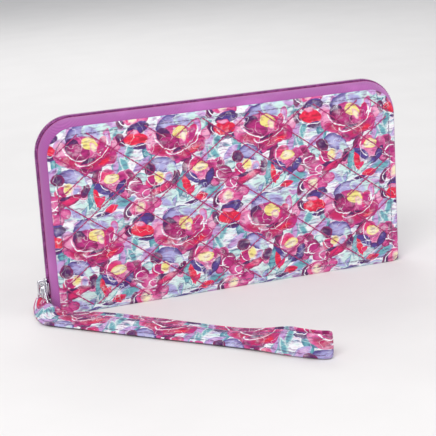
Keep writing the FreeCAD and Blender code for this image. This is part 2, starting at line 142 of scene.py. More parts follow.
class Material:
    """A node material; node() adds any node and surface() ends it."""

    def __init__(self, name):
        self.data = bpy.data.materials.new(name)
        self.data.use_nodes = True
        self.tree = self.data.node_tree
        self.tree.nodes.clear()

    def node(self, kind, settings=None, inputs=None, output=0):
        """Adds a node: its settings first, then a value or a link for each named or numbered socket."""
        made = self.tree.nodes.new(kind)
        for key, value in (settings or {}).items():
            setattr(made, key, value)
        for key, value in (inputs or {}).items():
            if isinstance(value, Socket):
                self.tree.links.new(value.output, made.inputs[key])
            else:
                made.inputs[key].default_value = value
        return Socket(self, made.outputs[output])

    def vector(self, operation, *values, output=0):
        return self.node("ShaderNodeVectorMath", {"operation": operation}, dict(enumerate(values)), output)

    def mix(self, factor, first, second):
        """first where factor is 0 and second where it is 1."""
        return self.node("ShaderNodeMix", {"data_type": "RGBA"}, {0: factor, 6: first, 7: second}, 2)

    def shaded(self, factor, colour, shade):
        """colour where factor is 0 and colour times shade where it is 1."""
        settings = {"data_type": "RGBA", "blend_type": "MULTIPLY"}
        return self.node("ShaderNodeMix", settings, {0: factor, 6: colour, 7: shade}, 2)

    def ramp(self, value, low, high, to_low=0.0, to_high=1.0):
        """A smooth step of value from low to high."""
        inputs = {0: value, 1: low, 2: high, 3: to_low, 4: to_high}
        return self.node("ShaderNodeMapRange", {"interpolation_type": "SMOOTHSTEP"}, inputs)

    def noise(self, place, scale, detail=2.0, output=0, roughness=0.5):
        inputs = {"Vector": place, "Scale": scale, "Detail": detail, "Roughness": roughness}
        return self.node("ShaderNodeTexNoise", {}, inputs, output)

    def split(self, vector):
        """The vector's three parts, from one node."""
        first = self.node("ShaderNodeSeparateXYZ", {}, {0: vector})
        return [Socket(self, output) for output in first.output.node.outputs]

    def cloth_place(self):
        return self.node("ShaderNodeUVMap", {"uv_map": "cloth"})

    def object_place(self):
        return self.node("ShaderNodeTexCoord", {}, {}, 3)

    def surface(self, colour, roughness, height=None, depth=0.0, **constants):
        """Ends the material in one Principled shader, with an optional bump of this depth in metres."""
        inputs = {"Base Color": colour, "Roughness": roughness}
        inputs.update({key.replace("_", " "): value for key, value in constants.items()})
        if height is not None:
            bump = {"Height": height, "Distance": depth, "Strength": 1.0}
            inputs["Normal"] = self.node("ShaderNodeBump", {}, bump)
        shader = self.node("ShaderNodeBsdfPrincipled", {}, inputs)
        self.node_out(shader)
        return self.data

    def node_out(self, shader):
        made = self.tree.nodes.new("ShaderNodeOutputMaterial")
        self.tree.links.new(shader.output, made.inputs["Surface"])


# ---------------------------------------------------------------- the print
REPEAT = 51.5                   # the print repeats at this distance both ways
PRINT_CENTRE = (-79.0, 94.0)    # where a large rose's heart lies on the front

WHITE = srgb(0.97, 0.97, 0.98)
MINT = srgb(0.80, 0.92, 0.90)
TEAL = srgb(0.43, 0.69, 0.73)
DEEP_TEAL = srgb(0.30, 0.55, 0.63)
LAVENDER = srgb(0.69, 0.68, 0.87)
LILAC = srgb(0.80, 0.62, 0.84)
PLUM = srgb(0.34, 0.11, 0.38)
WINE = srgb(0.55, 0.10, 0.38)
INDIGO = srgb(0.33, 0.23, 0.56)
MAGENTA = srgb(0.74, 0.13, 0.49)
ROSE = srgb(0.87, 0.36, 0.62)
BLUSH = srgb(0.94, 0.64, 0.78)
HOT = srgb(0.90, 0.17, 0.45)
CRIMSON = srgb(0.92, 0.10, 0.29)
LIP = srgb(0.77, 0.09, 0.38)
CREAM = srgb(0.97, 0.93, 0.76)
YELLOW = srgb(0.95, 0.89, 0.53)

# Dabs of paint in the order they are laid: kind, place across and down in repeats, half sizes, turn in
# degrees, colour at the middle and at the rim.
GROUND = [
    ("dab", 0.92, 0.70, 0.17, 0.11, 25, MINT, WHITE),
    ("dab", 0.18, 0.87, 0.17, 0.08, -12, MINT, LAVENDER),
    ("dab", 0.34, 0.19, 0.11, 0.15, 12, LILAC, TEAL),
    ("leaf", 0.29, -0.05, 0.12, 0.05, -20, TEAL, DEEP_TEAL),
    ("leaf", 0.43, 0.16, 0.14, 0.05, 110, TEAL, MINT),
    ("leaf", 0.64, 0.19, 0.14, 0.06, 75, TEAL, DEEP_TEAL),
    ("leaf", 0.33, 0.69, 0.15, 0.08, -15, TEAL, LAVENDER),
    ("dab", 0.56, 0.44, 0.07, 0.05, 0, MINT, TEAL),
    ("leaf", 0.87, 0.80, 0.14, 0.04, 120, LAVENDER, TEAL),
    ("leaf", 0.97, 0.62, 0.13, 0.045, 60, MINT, TEAL),
    ("dab", 0.80, 0.12, 0.05, 0.08, 20, MINT, TEAL),
]
FILLERS = [
    ("dab", 0.30, 0.05, 0.06, 0.09, 15, BLUSH, ROSE),
    ("leaf", 0.27, 0.30, 0.13, 0.05, 100, LILAC, TEAL),
    ("leaf", 0.38, 0.29, 0.12, 0.045, 60, TEAL, MINT),
    ("dab", 0.08, 0.45, 0.05, 0.08, 30, MAGENTA, ROSE),
    ("dab", 0.42, 0.41, 0.07, 0.07, 40, WINE, ROSE),
    ("dab", 0.03, 0.31, 0.07, 0.03, -10, PLUM, WINE),
    ("leaf", 0.57, 0.30, 0.13, 0.05, -40, LILAC, LAVENDER),
    ("dab", 0.90, 0.20, 0.06, 0.09, -25, TEAL, MINT),
    ("dab", 0.94, 0.31, 0.06, 0.045, 20, ROSE, MAGENTA),
    ("dab", 0.84, 0.90, 0.08, 0.07, 20, BLUSH, LILAC),
    ("leaf", 0.78, 0.74, 0.15, 0.06, 35, LAVENDER, MINT),
    ("dab", 0.70, 0.74, 0.07, 0.06, -20, ROSE, MAGENTA),
    ("leaf", 0.31, 0.86, 0.14, 0.05, 20, LILAC, MINT),
    ("leaf", 0.26, 0.95, 0.12, 0.045, -50, MINT, TEAL),
    ("dab", 0.37, 0.60, 0.06, 0.05, 0, ROSE, WINE),
    ("leaf", 0.02, 0.90, 0.13, 0.05, 130, LAVENDER, MINT),
    ("dab", 0.72, 0.17, 0.05, 0.07, 0, LAVENDER, TEAL),
    ("dab", 0.90, 0.57, 0.06, 0.05, 30, BLUSH, ROSE),
    ("leaf", 0.66, 0.66, 0.10, 0.04, -60, WINE, MAGENTA),
]
BIG_ROSE = [
    ("dab", -0.27, 0.10, 0.11, 0.12, 20, BLUSH, ROSE),
    ("dab", -0.20, 0.18, 0.16, 0.07, 15, LIP, ROSE),
    ("dab", -0.08, 0.24, 0.10, 0.05, 10, ROSE, LIP),
    ("dab", 0.20, -0.02, 0.05, 0.11, 15, LILAC, ROSE),
    ("dab", -0.09, -0.09, 0.17, 0.10, -18, LAVENDER, INDIGO),
    ("dab", 0.06, -0.10, 0.13, 0.07, 25, LAVENDER, MINT),
    ("dab", -0.04, 0.05, 0.22, 0.13, 5, ROSE, MAGENTA),
    ("dab", -0.17, 0.03, 0.08, 0.10, -20, PLUM, PLUM),
    ("dab", -0.11, 0.08, 0.13, 0.08, 25, MAGENTA, WINE),
    ("dab", 0.01, 0.01, 0.09, 0.07, 10, YELLOW, YELLOW),
    ("dab", 0.05, 0.06, 0.035, 0.06, -20, CREAM, BLUSH),
    ("dab", 0.15, 0.05, 0.06, 0.11, 18, MAGENTA, HOT),
    ("line", -0.03, 0.01, 0.24, 0.17, -6, WHITE, 0.045),
    ("dab", 0.21, 0.16, 0.09, 0.10, 0, HOT, MAGENTA),
    ("dab", 0.09, 0.22, 0.22, 0.075, -22, LIP, MAGENTA),
    ("dab", 0.16, 0.22, 0.09, 0.035, -24, CRIMSON, LIP),
    ("leaf", -0.01, 0.19, 0.11, 0.022, -14, PLUM, WINE),
    ("line", 0.03, 0.12, 0.20, 0.09, -24, WHITE, 0.06),
    ("dab", -0.07, 0.28, 0.06, 0.03, 20, WINE, MAGENTA),
]
RED_CUP = [
    ("dab", 0.69, 0.03, 0.08, 0.11, 5, BLUSH, LILAC),
    ("dab", 0.55, -0.08, 0.14, 0.06, -8, INDIGO, PLUM),
    ("dab", 0.36, 0.01, 0.045, 0.08, -15, PLUM, WINE),
    ("dab", 0.52, 0.03, 0.135, 0.075, 6, CRIMSON, CRIMSON),
    ("dab", 0.50, -0.045, 0.07, 0.03, 10, BLUSH, HOT),
    ("leaf", 0.57, 0.12, 0.11, 0.035, -8, PLUM, INDIGO),
    ("line", 0.51, 0.02, 0.15, 0.09, 8, WHITE, 0.05),
]
BUD = [
    ("dab", 0.38, 0.80, 0.05, 0.10, 20, PLUM, WINE),
    ("dab", 0.61, 0.80, 0.08, 0.08, 10, ROSE, MAGENTA),
    ("dab", 0.50, 0.78, 0.11, 0.10, 0, HOT, ROSE),
    ("dab", 0.51, 0.78, 0.065, 0.075, 15, CREAM, BLUSH),
    ("line", 0.47, 0.79, 0.07, 0.11, 70, WHITE, 0.08),
    ("dab", 0.54, 0.89, 0.12, 0.04, -14, INDIGO, INDIGO),
]
CREAM_FLOWER = [
    ("leaf", 0.07, 0.36, 0.12, 0.045, -58, WINE, PLUM),
    ("dab", 0.33, 0.43, 0.08, 0.08, 0, MAGENTA, ROSE),
    ("dab", 0.16, 0.38, 0.10, 0.07, -20, HOT, ROSE),
    ("dab", 0.20, 0.49, 0.13, 0.09, 0, ROSE, BLUSH),
    ("leaf", 0.11, 0.52, 0.13, 0.05, 38, INDIGO, INDIGO),
    ("leaf", 0.32, 0.54, 0.11, 0.05, -62, INDIGO, PLUM),
    ("dab", 0.23, 0.61, 0.06, 0.045, 0, INDIGO, PLUM),
    ("dab", 0.22, 0.42, 0.09, 0.055, -6, CREAM, YELLOW),
    ("line", 0.18, 0.42, 0.12, 0.09, 95, WHITE, 0.07),
]
SMALL_ROSE = [
    ("dab", 0.80, 0.34, 0.15, 0.09, 15, LAVENDER, INDIGO),
    ("dab", 0.90, 0.42, 0.06, 0.11, -20, MINT, LAVENDER),
    ("dab", 0.65, 0.36, 0.07, 0.075, -30, PLUM, WINE),
    ("dab", 0.67, 0.50, 0.08, 0.07, 0, MAGENTA, HOT),
    ("dab", 0.75, 0.47, 0.055, 0.065, 0, YELLOW, CREAM),
    ("dab", 0.84, 0.51, 0.05, 0.08, 20, LAVENDER, BLUSH),
    ("line", 0.74, 0.47, 0.13, 0.10, 20, WHITE, 0.06),
    ("dab", 0.76, 0.60, 0.15, 0.05, -20, HOT, WINE),
    ("leaf", 0.70, 0.57, 0.08, 0.02, -10, PLUM, PLUM),
    ("leaf", 0.95, 0.49, 0.07, 0.04, 50, PLUM, WINE),
]
STRIPED = [
    ("dab", 0.46, 0.52, 0.11, 0.10, 10, MAGENTA, WINE),
    ("dab", 0.57, 0.62, 0.11, 0.10, 0, ROSE, MAGENTA),
    ("line", 0.42, 0.50, 0.06, 0.09, 80, WHITE, 0.10),
    ("line", 0.50, 0.54, 0.06, 0.10, 100, WHITE, 0.10),
    ("line", 0.55, 0.62, 0.09, 0.07, -10, WHITE, 0.10),
    ("line", 0.63, 0.64, 0.05, 0.09, 100, WHITE, 0.10),
]
LILY = [
    ("dab", -0.07, 0.51, 0.045, 0.09, 22, PLUM, WINE),
    ("leaf", -0.01, 0.58, 0.15, 0.045, 100, TEAL, DEEP_TEAL),
    ("leaf", 0.12, 0.69, 0.13, 0.04, -35, MINT, TEAL),
    ("leaf", 0.05, 0.60, 0.12, 0.04, 78, CRIMSON, CRIMSON),
    ("leaf", 0.09, 0.65, 0.07, 0.03, -45, HOT, CRIMSON),
    ("leaf", 0.20, 0.74, 0.09, 0.045, -12, CRIMSON, HOT),
    ("leaf", 0.09, 0.785, 0.09, 0.022, -4, PLUM, INDIGO),
]


class Print(Material):
    """A watercolour flower print painted dab by dab over the cloth's own UV map."""

    def __init__(self, name):
        super().__init__(name)
        per_metre = 1 / (REPEAT * MM)
        move = (-PRINT_CENTRE[0] / REPEAT, PRINT_CENTRE[1] / REPEAT, 0.0)
        self.uv = self.cloth_place()
        scale = (per_metre, -per_metre, 0.0)
        flat = self.node("ShaderNodeMapping", {}, {"Vector": self.uv, "Location": move, "Scale": scale})
        broad = self.vector("MULTIPLY_ADD", self.noise(flat, 5.0, 2.0, 1), (0.07,) * 3, (-0.035,) * 3)
        fine = self.vector("MULTIPLY_ADD", self.noise(flat, 21.0, 2.0, 1), (0.022,) * 3, broad)
        self.dry = self.vector("ADD", flat, fine)
        self.place = self.dry
        self.colour = WHITE

    def local(self, across, down, half_wide, half_high, turn):
        """Along and across a dab, in its own half sizes, from its middle in the nearest repeat."""
        away = self.vector("SUBTRACT", self.place, (across, down, 0.0))
        near = self.vector("WRAP", away, (0.5,) * 3, (-0.5,) * 3)
        cos = math.cos(math.radians(turn))
        sin = math.sin(math.radians(turn))
        along = self.vector("DOT_PRODUCT", near, (cos / half_wide, sin / half_wide, 0.0), output=1)
        aside = self.vector("DOT_PRODUCT", near, (-sin / half_high, cos / half_high, 0.0), output=1)
        return along, aside

    def dab(self, along, aside, colour, rim):
        """An ellipse whose colour turns to the rim's towards its edge."""
        reach = along * along + aside * aside
        tone = colour if colour is rim else self.mix(self.ramp(reach, 0.12, 0.88), colour, rim)
        self.colour = self.mix(self.ramp(reach, 1.0, 0.82), self.colour, tone)

    def leaf(self, along, aside, colour, rim):
        """A pointed oval: inside where the distance across is less than 1 - along squared."""
        inside = 1.0 - along * along - abs(aside)
        tone = colour if colour is rim else self.mix(self.ramp(inside, 0.6, 0.1), colour, rim)
        self.colour = self.mix(self.ramp(inside, 0.0, 0.12), self.colour, tone)

    def line(self, along, aside, colour, width):
        """A thin unpainted line round the lower half of an ellipse."""
        off = abs(along * along + aside * aside - 1.0)
        mark = self.ramp(off, width * 2.0, width * 0.9) * self.ramp(aside, -0.25, 0.15)
        self.colour = self.mix(mark, self.colour, colour)

    def paint(self, rows):
        """Lays one group of dabs, whose edges creep a little with the paint that they are laid on.

        Groups of up to fifty dabs, each placed from the colour under it, fit in Cycles' shader stack. Sixty
        dabs placed from the dry cloth alone do not, and then the cloth renders black.
        """
        self.place = self.vector("MULTIPLY_ADD", self.colour, (0.003,) * 3, self.dry)
        for kind, across, down, half_wide, half_high, turn, colour, rim in rows:
            along, aside = self.local(across, down, half_wide, half_high, turn)
            getattr(self, kind)(along, aside, colour, rim)


def weave_height(material, place, pitch):
    """Plain weave: the product of two sine waves, one along each thread direction."""
    turns = 2 * math.pi / (pitch * MM)
    across, along, _ = material.split(place)
    return (across * turns).sine() * (along * turns).sine()


def brush_marks(m, turn, scale, low, high, most):
    """Long thin strokes: noise stretched along one direction, kept only where it is strong."""
    inputs = {"Vector": m.dry, "Rotation": (0, 0, math.radians(turn)), "Scale": scale}
    return m.ramp(m.noise(m.node("ShaderNodeMapping", {}, inputs), 1.0, 3.0), low, high, 0.0, most)


def print_cloth():
    """Printed cotton: washes, dabs of paint, brush marks and bare hairlines, on a plain weave."""
    m = Print("watercolour_print")
    m.colour = m.mix(brush_marks(m, 60, (5, 16, 1), 0.48, 0.66, 0.85), m.colour, MINT)
    m.colour = m.mix(brush_marks(m, -35, (4, 15, 1), 0.52, 0.70, 0.9), m.colour, LAVENDER)
    m.colour = m.mix(brush_marks(m, 20, (5, 20, 1), 0.57, 0.68, 0.9), m.colour, TEAL)
    for rows in (GROUND, FILLERS, STRIPED, SMALL_ROSE, CREAM_FLOWER, BUD, RED_CUP, LILY, BIG_ROSE):
        m.paint(rows)
    wash = m.noise(m.dry, 8.0, 4.0, roughness=0.65)
    tone = m.mix(m.ramp(wash, 0.48, 0.76, 0.0, 0.50), m.colour, WHITE)
    tone = m.shaded(brush_marks(m, 40, (9, 34, 1), 0.50, 0.66, 0.62), tone, srgb(0.62, 0.42, 0.66))
    tone = m.shaded(brush_marks(m, -50, (11, 40, 1), 0.52, 0.66, 0.5), tone, srgb(0.80, 0.45, 0.70))
    meander = abs(m.noise(m.dry, 4.2, 2.5) - 0.5)
    tone = m.mix(m.ramp(meander, 0.007, 0.002, 0.0, 0.5), tone, WHITE)
    rough = m.noise(m.uv, 900.0, 1.0) * 0.15 + 0.72
    return m.surface(tone, rough, weave_height(m, m.uv, 0.7), 0.00006, Sheen_Weight=0.1)


def thread(name, colour):
    """Twisted thread, with painted shade between its strands, which run slantwise along each stitch: darker
    where the bump noise is low.
    """
    m = Material(name)
    grain_and_painted_light = m.noise(m.object_place(), 2600.0, 2.0)
    shade = tuple(c * 0.72 for c in colour[:3]) + (1.0,)
    # Painted shade: the colour darkens to 0.72 of itself where the noise, which is also the bump, is low.
    tone = m.mix(m.ramp(grain_and_painted_light, 0.35, 0.65), shade, colour)
    return m.surface(tone, grain_and_painted_light * 0.2 + 0.45, grain_and_painted_light, 0.00005, Sheen_Weight=0.2)


def twill(name, colour, shade, pitch, depth=0.00009):
    """Twill tape or lining: slanting ribs from a sine of the sum of both cloth directions, with painted shade in
    the grooves between them.
    """
    m = Material(name)
    place = m.cloth_place()
    turns = 2 * math.pi / (pitch * MM)
    across, along, _ = m.split(place)
    ribs = ((across + along) * turns).sine()
    cross = ((across - along) * turns * 1.7).sine()
    worn = m.noise(m.object_place(), 55.0, 4.0)
    height = ribs + cross * 0.35
    # Painted shade: the shade colour where the ribs' height is low, the cloth's colour where it is high.
    tone = m.mix(m.ramp(height, -0.9, 0.7), shade, colour)
    light = tuple(min(1.0, c * 1.25 + 0.02) for c in colour[:3]) + (1.0,)
    tone = m.mix(m.ramp(worn, 0.50, 0.80, 0.0, 0.5), tone, light)
    return m.surface(tone, worn * 0.2 + 0.55, height, depth, Sheen_Weight=0.25)


def nylon_coil():
    """Moulded nylon: a plum filament with a soft shine, with painted highlights: lighter pink where its bump
    noise is high.
    """
    m = Material("zip_nylon")
    grain_and_painted_light = m.noise(m.object_place(), 700.0, 2.0)
    # Painted highlights: the lighter pink stands for light caught on the coil's raised turns.
    tone = m.mix(m.ramp(grain_and_painted_light, 0.4, 0.7), srgb(0.45, 0.11, 0.42), srgb(0.76, 0.38, 0.71))
    return m.surface(tone, grain_and_painted_light * 0.2 + 0.22, grain_and_painted_light, 0.00002)


def bright_metal(name, colour):
    """Plated die-cast metal: fine polishing marks and slightly duller worn spots."""
    m = Material(name)
    place = m.object_place()
    marks = m.noise(m.node("ShaderNodeMapping", {}, {"Vector": place, "Scale": (1, 1, 0.15)}), 2200.0, 2.0)
    worn = m.noise(place, 260.0, 3.0)
    dull = tuple(c * 0.78 for c in colour[:3]) + (1.0,)
    tone = m.mix(m.ramp(worn, 0.45, 0.75, 0.0, 0.6), colour, dull)
    return m.surface(tone, m.ramp(worn, 0.3, 0.8, 0.16, 0.34), marks, 0.000012, Metallic=1.0)


def fibre_board():
    """Pressed grey-brown board: short fibres and flecks."""
    m = Material("pressed_board")
    place = m.object_place()
    fibres = m.noise(m.node("ShaderNodeMapping", {}, {"Vector": place, "Scale": (1, 1, 3)}), 420.0, 5.0)
    tone = m.mix(m.ramp(fibres, 0.35, 0.7), srgb(0.62, 0.56, 0.50), srgb(0.78, 0.73, 0.66))
    return m.surface(tone, fibres * 0.2 + 0.75, fibres, 0.00012)


def pale_floor():
    """A plain matt table top, faintly mottled."""
    m = Material("pale_floor")
    mottle = m.noise(m.object_place(), 18.0, 3.0)
    tone = m.mix(mottle, srgb(0.90, 0.89, 0.88), srgb(0.93, 0.92, 0.91))
    return m.surface(tone, 0.85)


PRINT_CLOTH = print_cloth()
QUILT_THREAD = thread("quilting_thread", srgb(0.74, 0.10, 0.47))
EDGE_THREAD = thread("edge_thread", srgb(0.48, 0.40, 0.55))
LINING_THREAD = thread("lining_thread", srgb(0.60, 0.22, 0.58))
TAPE_CLOTH = twill("zip_tape_cloth", srgb(0.75, 0.38, 0.71), srgb(0.56, 0.21, 0.54), 1.3)
LINING_CLOTH = twill("lining_twill", srgb(0.78, 0.62, 0.82), srgb(0.68, 0.50, 0.74), 1.1)
COIL_NYLON = nylon_coil()
SILVER = bright_metal("bright_plate", srgb(0.86, 0.86, 0.88))
BOARD = fibre_board()


# ---------------------------------------------------------------- meshes from arrays
def grid_quads(rows, cols, ring_rows=False, ring_cols=False):
    """The four corners of every cell of a grid, wrapped round where it closes on itself."""
    i, j = np.meshgrid(
        np.arange(rows if ring_rows else rows - 1), np.arange(cols if ring_cols else cols - 1), indexing="ij")
    below, right = (i + 1) % rows, (j + 1) % cols
    corners = [i * cols + j, i * cols + right, below * cols + right, below * cols + j]
    return np.stack(corners, -1).reshape(-1, 4)


class Shell:
    """Points, faces and the place of each point on its cloth, in millimetres."""

    def __init__(self, points, quads, ends=(), cloth=None):
        self.points = np.asarray(points, float).reshape(-1, 3)
        self.quads = np.asarray(quads, int)
        self.ends = [list(map(int, end)) for end in ends]
        flat = np.zeros((len(self.points), 2)) if cloth is None else np.asarray(cloth, float)
        self.cloth = flat.reshape(-1, 2)


def piece(name, shells, body, material, replaces=(), smooth=True):
    """One object from closed shells; its faces are turned outwards and its place is in its mesh.
    A piece given no body rides on none."""
    faces, points, cloth, start = [], [], [], 0
    for shell in shells:
        faces += (shell.quads + start).tolist()
        faces += [[index + start for index in end] for end in shell.ends]
        points.append(shell.points)
        cloth.append(shell.cloth)
        start += len(shell.points)
    mesh = bpy.data.meshes.new(name)
    mesh.from_pydata(np.concatenate(points) * MM, [], faces)
    flat = np.concatenate(cloth) * MM
    corners = np.zeros(len(mesh.loops), np.int32)
    mesh.loops.foreach_get("vertex_index", corners)
    mesh.uv_layers.new(name="cloth").data.foreach_set("uv", flat[corners].astype(np.float32).ravel())
    work = bmesh.new()
    work.from_mesh(mesh)
    bmesh.ops.remove_doubles(work, verts=work.verts, dist=1e-7)
    bmesh.ops.recalc_face_normals(work, faces=work.faces)
    work.to_mesh(mesh)
    work.free()
    mesh.polygons.foreach_set("use_smooth", np.full(len(mesh.polygons), smooth))
    mesh.materials.append(material)
    made = bpy.data.objects.new(name, mesh)
    bpy.context.scene.collection.objects.link(made)
    if body is not None:
        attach(made, body)
    if replaces:
        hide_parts(*replaces)
    return made


def slab(front, back, cloth):
    """A closed sheet between two grids of the same size, joined round their four edges."""
    rows, cols = front.shape[:2]
    count = rows * cols
    quads = grid_quads(rows, cols)
    numbers = np.arange(count).reshape(rows, cols)
    rim = np.concatenate([numbers[0], numbers[1:, -1], numbers[-1, -2::-1], numbers[-2:0:-1, 0]])
    follow = np.roll(rim, -1)
    joins = np.stack([rim, follow, follow + count, rim + count], -1)
    points = np.concatenate([front.reshape(-1, 3), back.reshape(-1, 3)])
    flat = np.concatenate([cloth.reshape(-1, 2)] * 2)
    return Shell(points, np.concatenate([quads, quads[:, ::-1] + count, joins]), cloth=flat)


def normalised(vectors):
    return vectors / np.maximum(np.linalg.norm(vectors, axis=-1, keepdims=True), 1e-9)


def distance_along(points):
    """The length of a line up to each of its points."""
    steps = np.linalg.norm(np.diff(points, axis=0), axis=1)
    return np.concatenate([[0.0], np.cumsum(steps)])


def resampled(points, at, other=()):
    """A line, and vectors given along it, at other distances along it."""
    along = distance_along(points)
    return [np.stack([np.interp(at, along, v[:, k]) for k in range(3)], 1) for v in (points, *other)]


def carried(centres, first, second, profile, closed=False):
    """A profile of (first, second) offsets carried along a line; open lines get flat ends."""
    offsets = np.asarray(profile, float)
    rows, cols = len(centres), len(offsets)
    points = centres[:, None] + offsets[None, :, :1] * first[:, None]
    points = points + offsets[None, :, 1:] * second[:, None]
    ring = np.concatenate([offsets, offsets[:1]])
    around = np.concatenate([[0.0], np.cumsum(np.linalg.norm(np.diff(ring, axis=0), axis=1))])[:-1]
    u, v = np.meshgrid(distance_along(centres), around, indexing="ij")
    ends = [] if closed else [range(cols), range((rows - 1) * cols, rows * cols)]
    return Shell(points, grid_quads(rows, cols, closed, True), ends, np.stack([u, v], -1))


def circle(radius, sides):
    turn = np.arange(sides) * 2 * np.pi / sides
    return np.stack([np.cos(turn), np.sin(turn)], 1) * radius


def squared_loop(half_wide, half_high, power, count, taper=0.0, centre=(0.0, 0.0)):
    """A superellipse: the 2/power powers of cosine and sine, narrowed or widened towards the top."""
    turn = np.arange(count) * 2 * np.pi / count
    x = np.sign(np.cos(turn)) * np.abs(np.cos(turn)) ** (2 / power)
    y = np.sign(np.sin(turn)) * np.abs(np.sin(turn)) ** (2 / power)
    return np.stack([centre[0] + half_wide * x * (1 + taper * y), centre[1] + half_high * y], 1)


def stood_up(flat, deep, plane):
    """Flat points and a depth as points in space; plane names the axes of both, such as 'yzx'."""
    axes = ["xyz".index(letter) for letter in plane]
    points = np.zeros(flat.shape[:-1] + (3,))
    points[..., axes[0]] = flat[..., 0]
    points[..., axes[1]] = flat[..., 1]
    points[..., axes[2]] = deep
    return points


def pebble(loop, middle, half_thick, plane, power=4.0, dome=0.0, rings=11):
    """A rounded plate: its loop shrinks to both poles as a superellipse does, with an extra dome."""
    tilt = np.linspace(-np.pi / 2, np.pi / 2, rings + 2)[1:-1]
    reach = np.abs(np.cos(tilt)) ** (2 / power)
    rise = np.sign(np.sin(tilt)) * np.abs(np.sin(tilt)) ** (2 / power)
    centre = loop.mean(axis=0)
    flat = centre + (loop - centre)[None] * reach[:, None, None]
    deep = middle + half_thick * rise[:, None] + dome * (1 - reach[:, None] ** 2) * np.sign(rise)[:, None]
    deep = deep + np.zeros(len(loop))[None]
    points = stood_up(flat, deep, plane)
    rows, cols = points.shape[:2]
    ends = [range(cols), range((rows - 1) * cols, rows * cols)]
    return Shell(points, grid_quads(rows, cols, False, True), ends)


def collar(inner, outer, middle, half_thick, plane, power=4.0, sides=12):
    """A plate with a hole: a squared ring of points carried round between two loops."""
    section = squared_loop(0.5, 1.0, power, sides)
    flat = inner[:, None] + (outer - inner)[:, None] * (section[None, :, :1] + 0.5)
    deep = np.broadcast_to(middle + half_thick * section[None, :, 1], flat.shape[:2])
    points = stood_up(flat, deep, plane)
    return Shell(points, grid_quads(len(inner), sides, True, True))


STITCH_STEPS = np.array([0.0, 0.14, 0.5, 0.86, 1.0])
STITCH_SWELL = np.array([0.45, 0.92, 1.0, 0.92, 0.45])


def stitches(starts, ends, outward, radius):
    """One short thread per stitch, rising out of the cloth in a half sine; 26 faces each."""
    run = ends - starts
    side = normalised(np.cross(run, outward))
    t = STITCH_STEPS[None, :, None]
    middle = starts[:, None] + run[:, None] * t + outward[:, None] * radius * np.sin(np.pi * t)
    ring = circle(1.0, 6)
    swell = (radius * STITCH_SWELL)[None, :, None, None]
    round_it = ring[None, None, :, :1] * side[:, None, None]
    round_it = round_it + ring[None, None, :, 1:] * outward[:, None, None]
    points = middle[:, :, None] + swell * round_it
    count, each = len(starts), len(STITCH_STEPS) * 6
    first = np.arange(count) * each
    quads = (grid_quads(len(STITCH_STEPS), 6, False, True)[None] + first[:, None, None]).reshape(-1, 4)
    caps = [list(range(at + k, at + k + 6)) for at in first.tolist() for k in (0, each - 6)]
    return Shell(points, quads, caps)


def seam(line, outward, pitch, radius, share=0.9):
    """Stitches of one pitch along a line, with the cloth's outward direction at each of its points."""
    length = distance_along(line)[-1]
    at = np.arange(int(length / pitch)) * pitch + pitch * (1 - share) / 2
    starts, up = resampled(line, at, (outward,))
    ends = resampled(line, at + pitch * share)[0]
    return stitches(starts, ends, normalised(up), radius)


# ---------------------------------------------------------------- camera, light and table
CAMERA_TURN = math.radians(-18.3)
CAMERA_RISE = math.radians(15.0)
CAMERA_ROLL = math.radians(-3.6)
CAMERA_AWAY_M = 0.856
CAMERA_AIM_M = (-0.0045, 0.0, 0.0388)
CAMERA_LENS = 123.85


def camera():
    """Looks at the aim from its distance, turned and raised, and rolled about its own axis."""
    turn, rise, roll = CAMERA_TURN, CAMERA_RISE, CAMERA_ROLL
    back = np.array([math.sin(turn) * math.cos(rise), -math.cos(turn) * math.cos(rise), math.sin(rise)])
    right = np.array([math.cos(turn), math.sin(turn), 0.0])
    up = np.cross(back, right)
    across = right * math.cos(roll) + up * math.sin(roll)
    upward = up * math.cos(roll) - right * math.sin(roll)
    place = np.array(CAMERA_AIM_M) + back * CAMERA_AWAY_M
    data = bpy.data.cameras.new("camera")
    data.lens = CAMERA_LENS
    data.sensor_width = 36.0
    data.clip_start = 0.01
    made = bpy.data.objects.new("camera", data)
    rows = [[across[k], upward[k], back[k], place[k]] for k in range(3)]
    made.matrix_world = Matrix(rows + [[0, 0, 0, 1]])
    bpy.context.scene.collection.objects.link(made)
    bpy.context.scene.camera = made


def area_light(name, place, aim, size, power):
    data = bpy.data.lights.new(name, "AREA")
    data.shape = "DISK"
    data.size = size
    data.energy = power
    made = bpy.data.objects.new(name, data)
    back = normalised(np.array(place) - np.array(aim))
    right = normalised(np.cross((0.0, 0.0, 1.0), back))
    up = np.cross(back, right)
    made.matrix_world = Matrix([[right[k], up[k], back[k], place[k]] for k in range(3)] + [[0, 0, 0, 1]])
    bpy.context.scene.collection.objects.link(made)


def studio():
    """A pale table, an even pale surround, one large soft key and two fills."""
    half = 1.6
    mesh = bpy.data.meshes.new("table")
    corners = [(-half, -half, 0), (half, -half, 0), (half, half, 0), (-half, half, 0)]
    mesh.from_pydata(corners, [], [(0, 1, 2, 3)])
    mesh.materials.append(pale_floor())
    table = bpy.data.objects.new("table", mesh)
    bpy.context.scene.collection.objects.link(table)
    world = bpy.data.worlds.new("surround")
    world.use_nodes = True
    world.node_tree.nodes["Background"].inputs["Color"].default_value = (0.93, 0.95, 1.0, 1.0)
    world.node_tree.nodes["Background"].inputs["Strength"].default_value = 0.56
    bpy.context.scene.world = world
    area_light("key", (-0.55, -0.85, 0.95), (0.0, 0.0, 0.05), 0.9, 10.5)
    area_light("fill", (0.95, -0.55, 0.60), (0.0, 0.0, 0.05), 0.9, 3.6)
    area_light("behind", (0.1, 0.95, 0.80), (0.0, 0.0, 0.06), 0.9, 4.2)
    bpy.context.scene.view_settings.view_transform = "Standard"


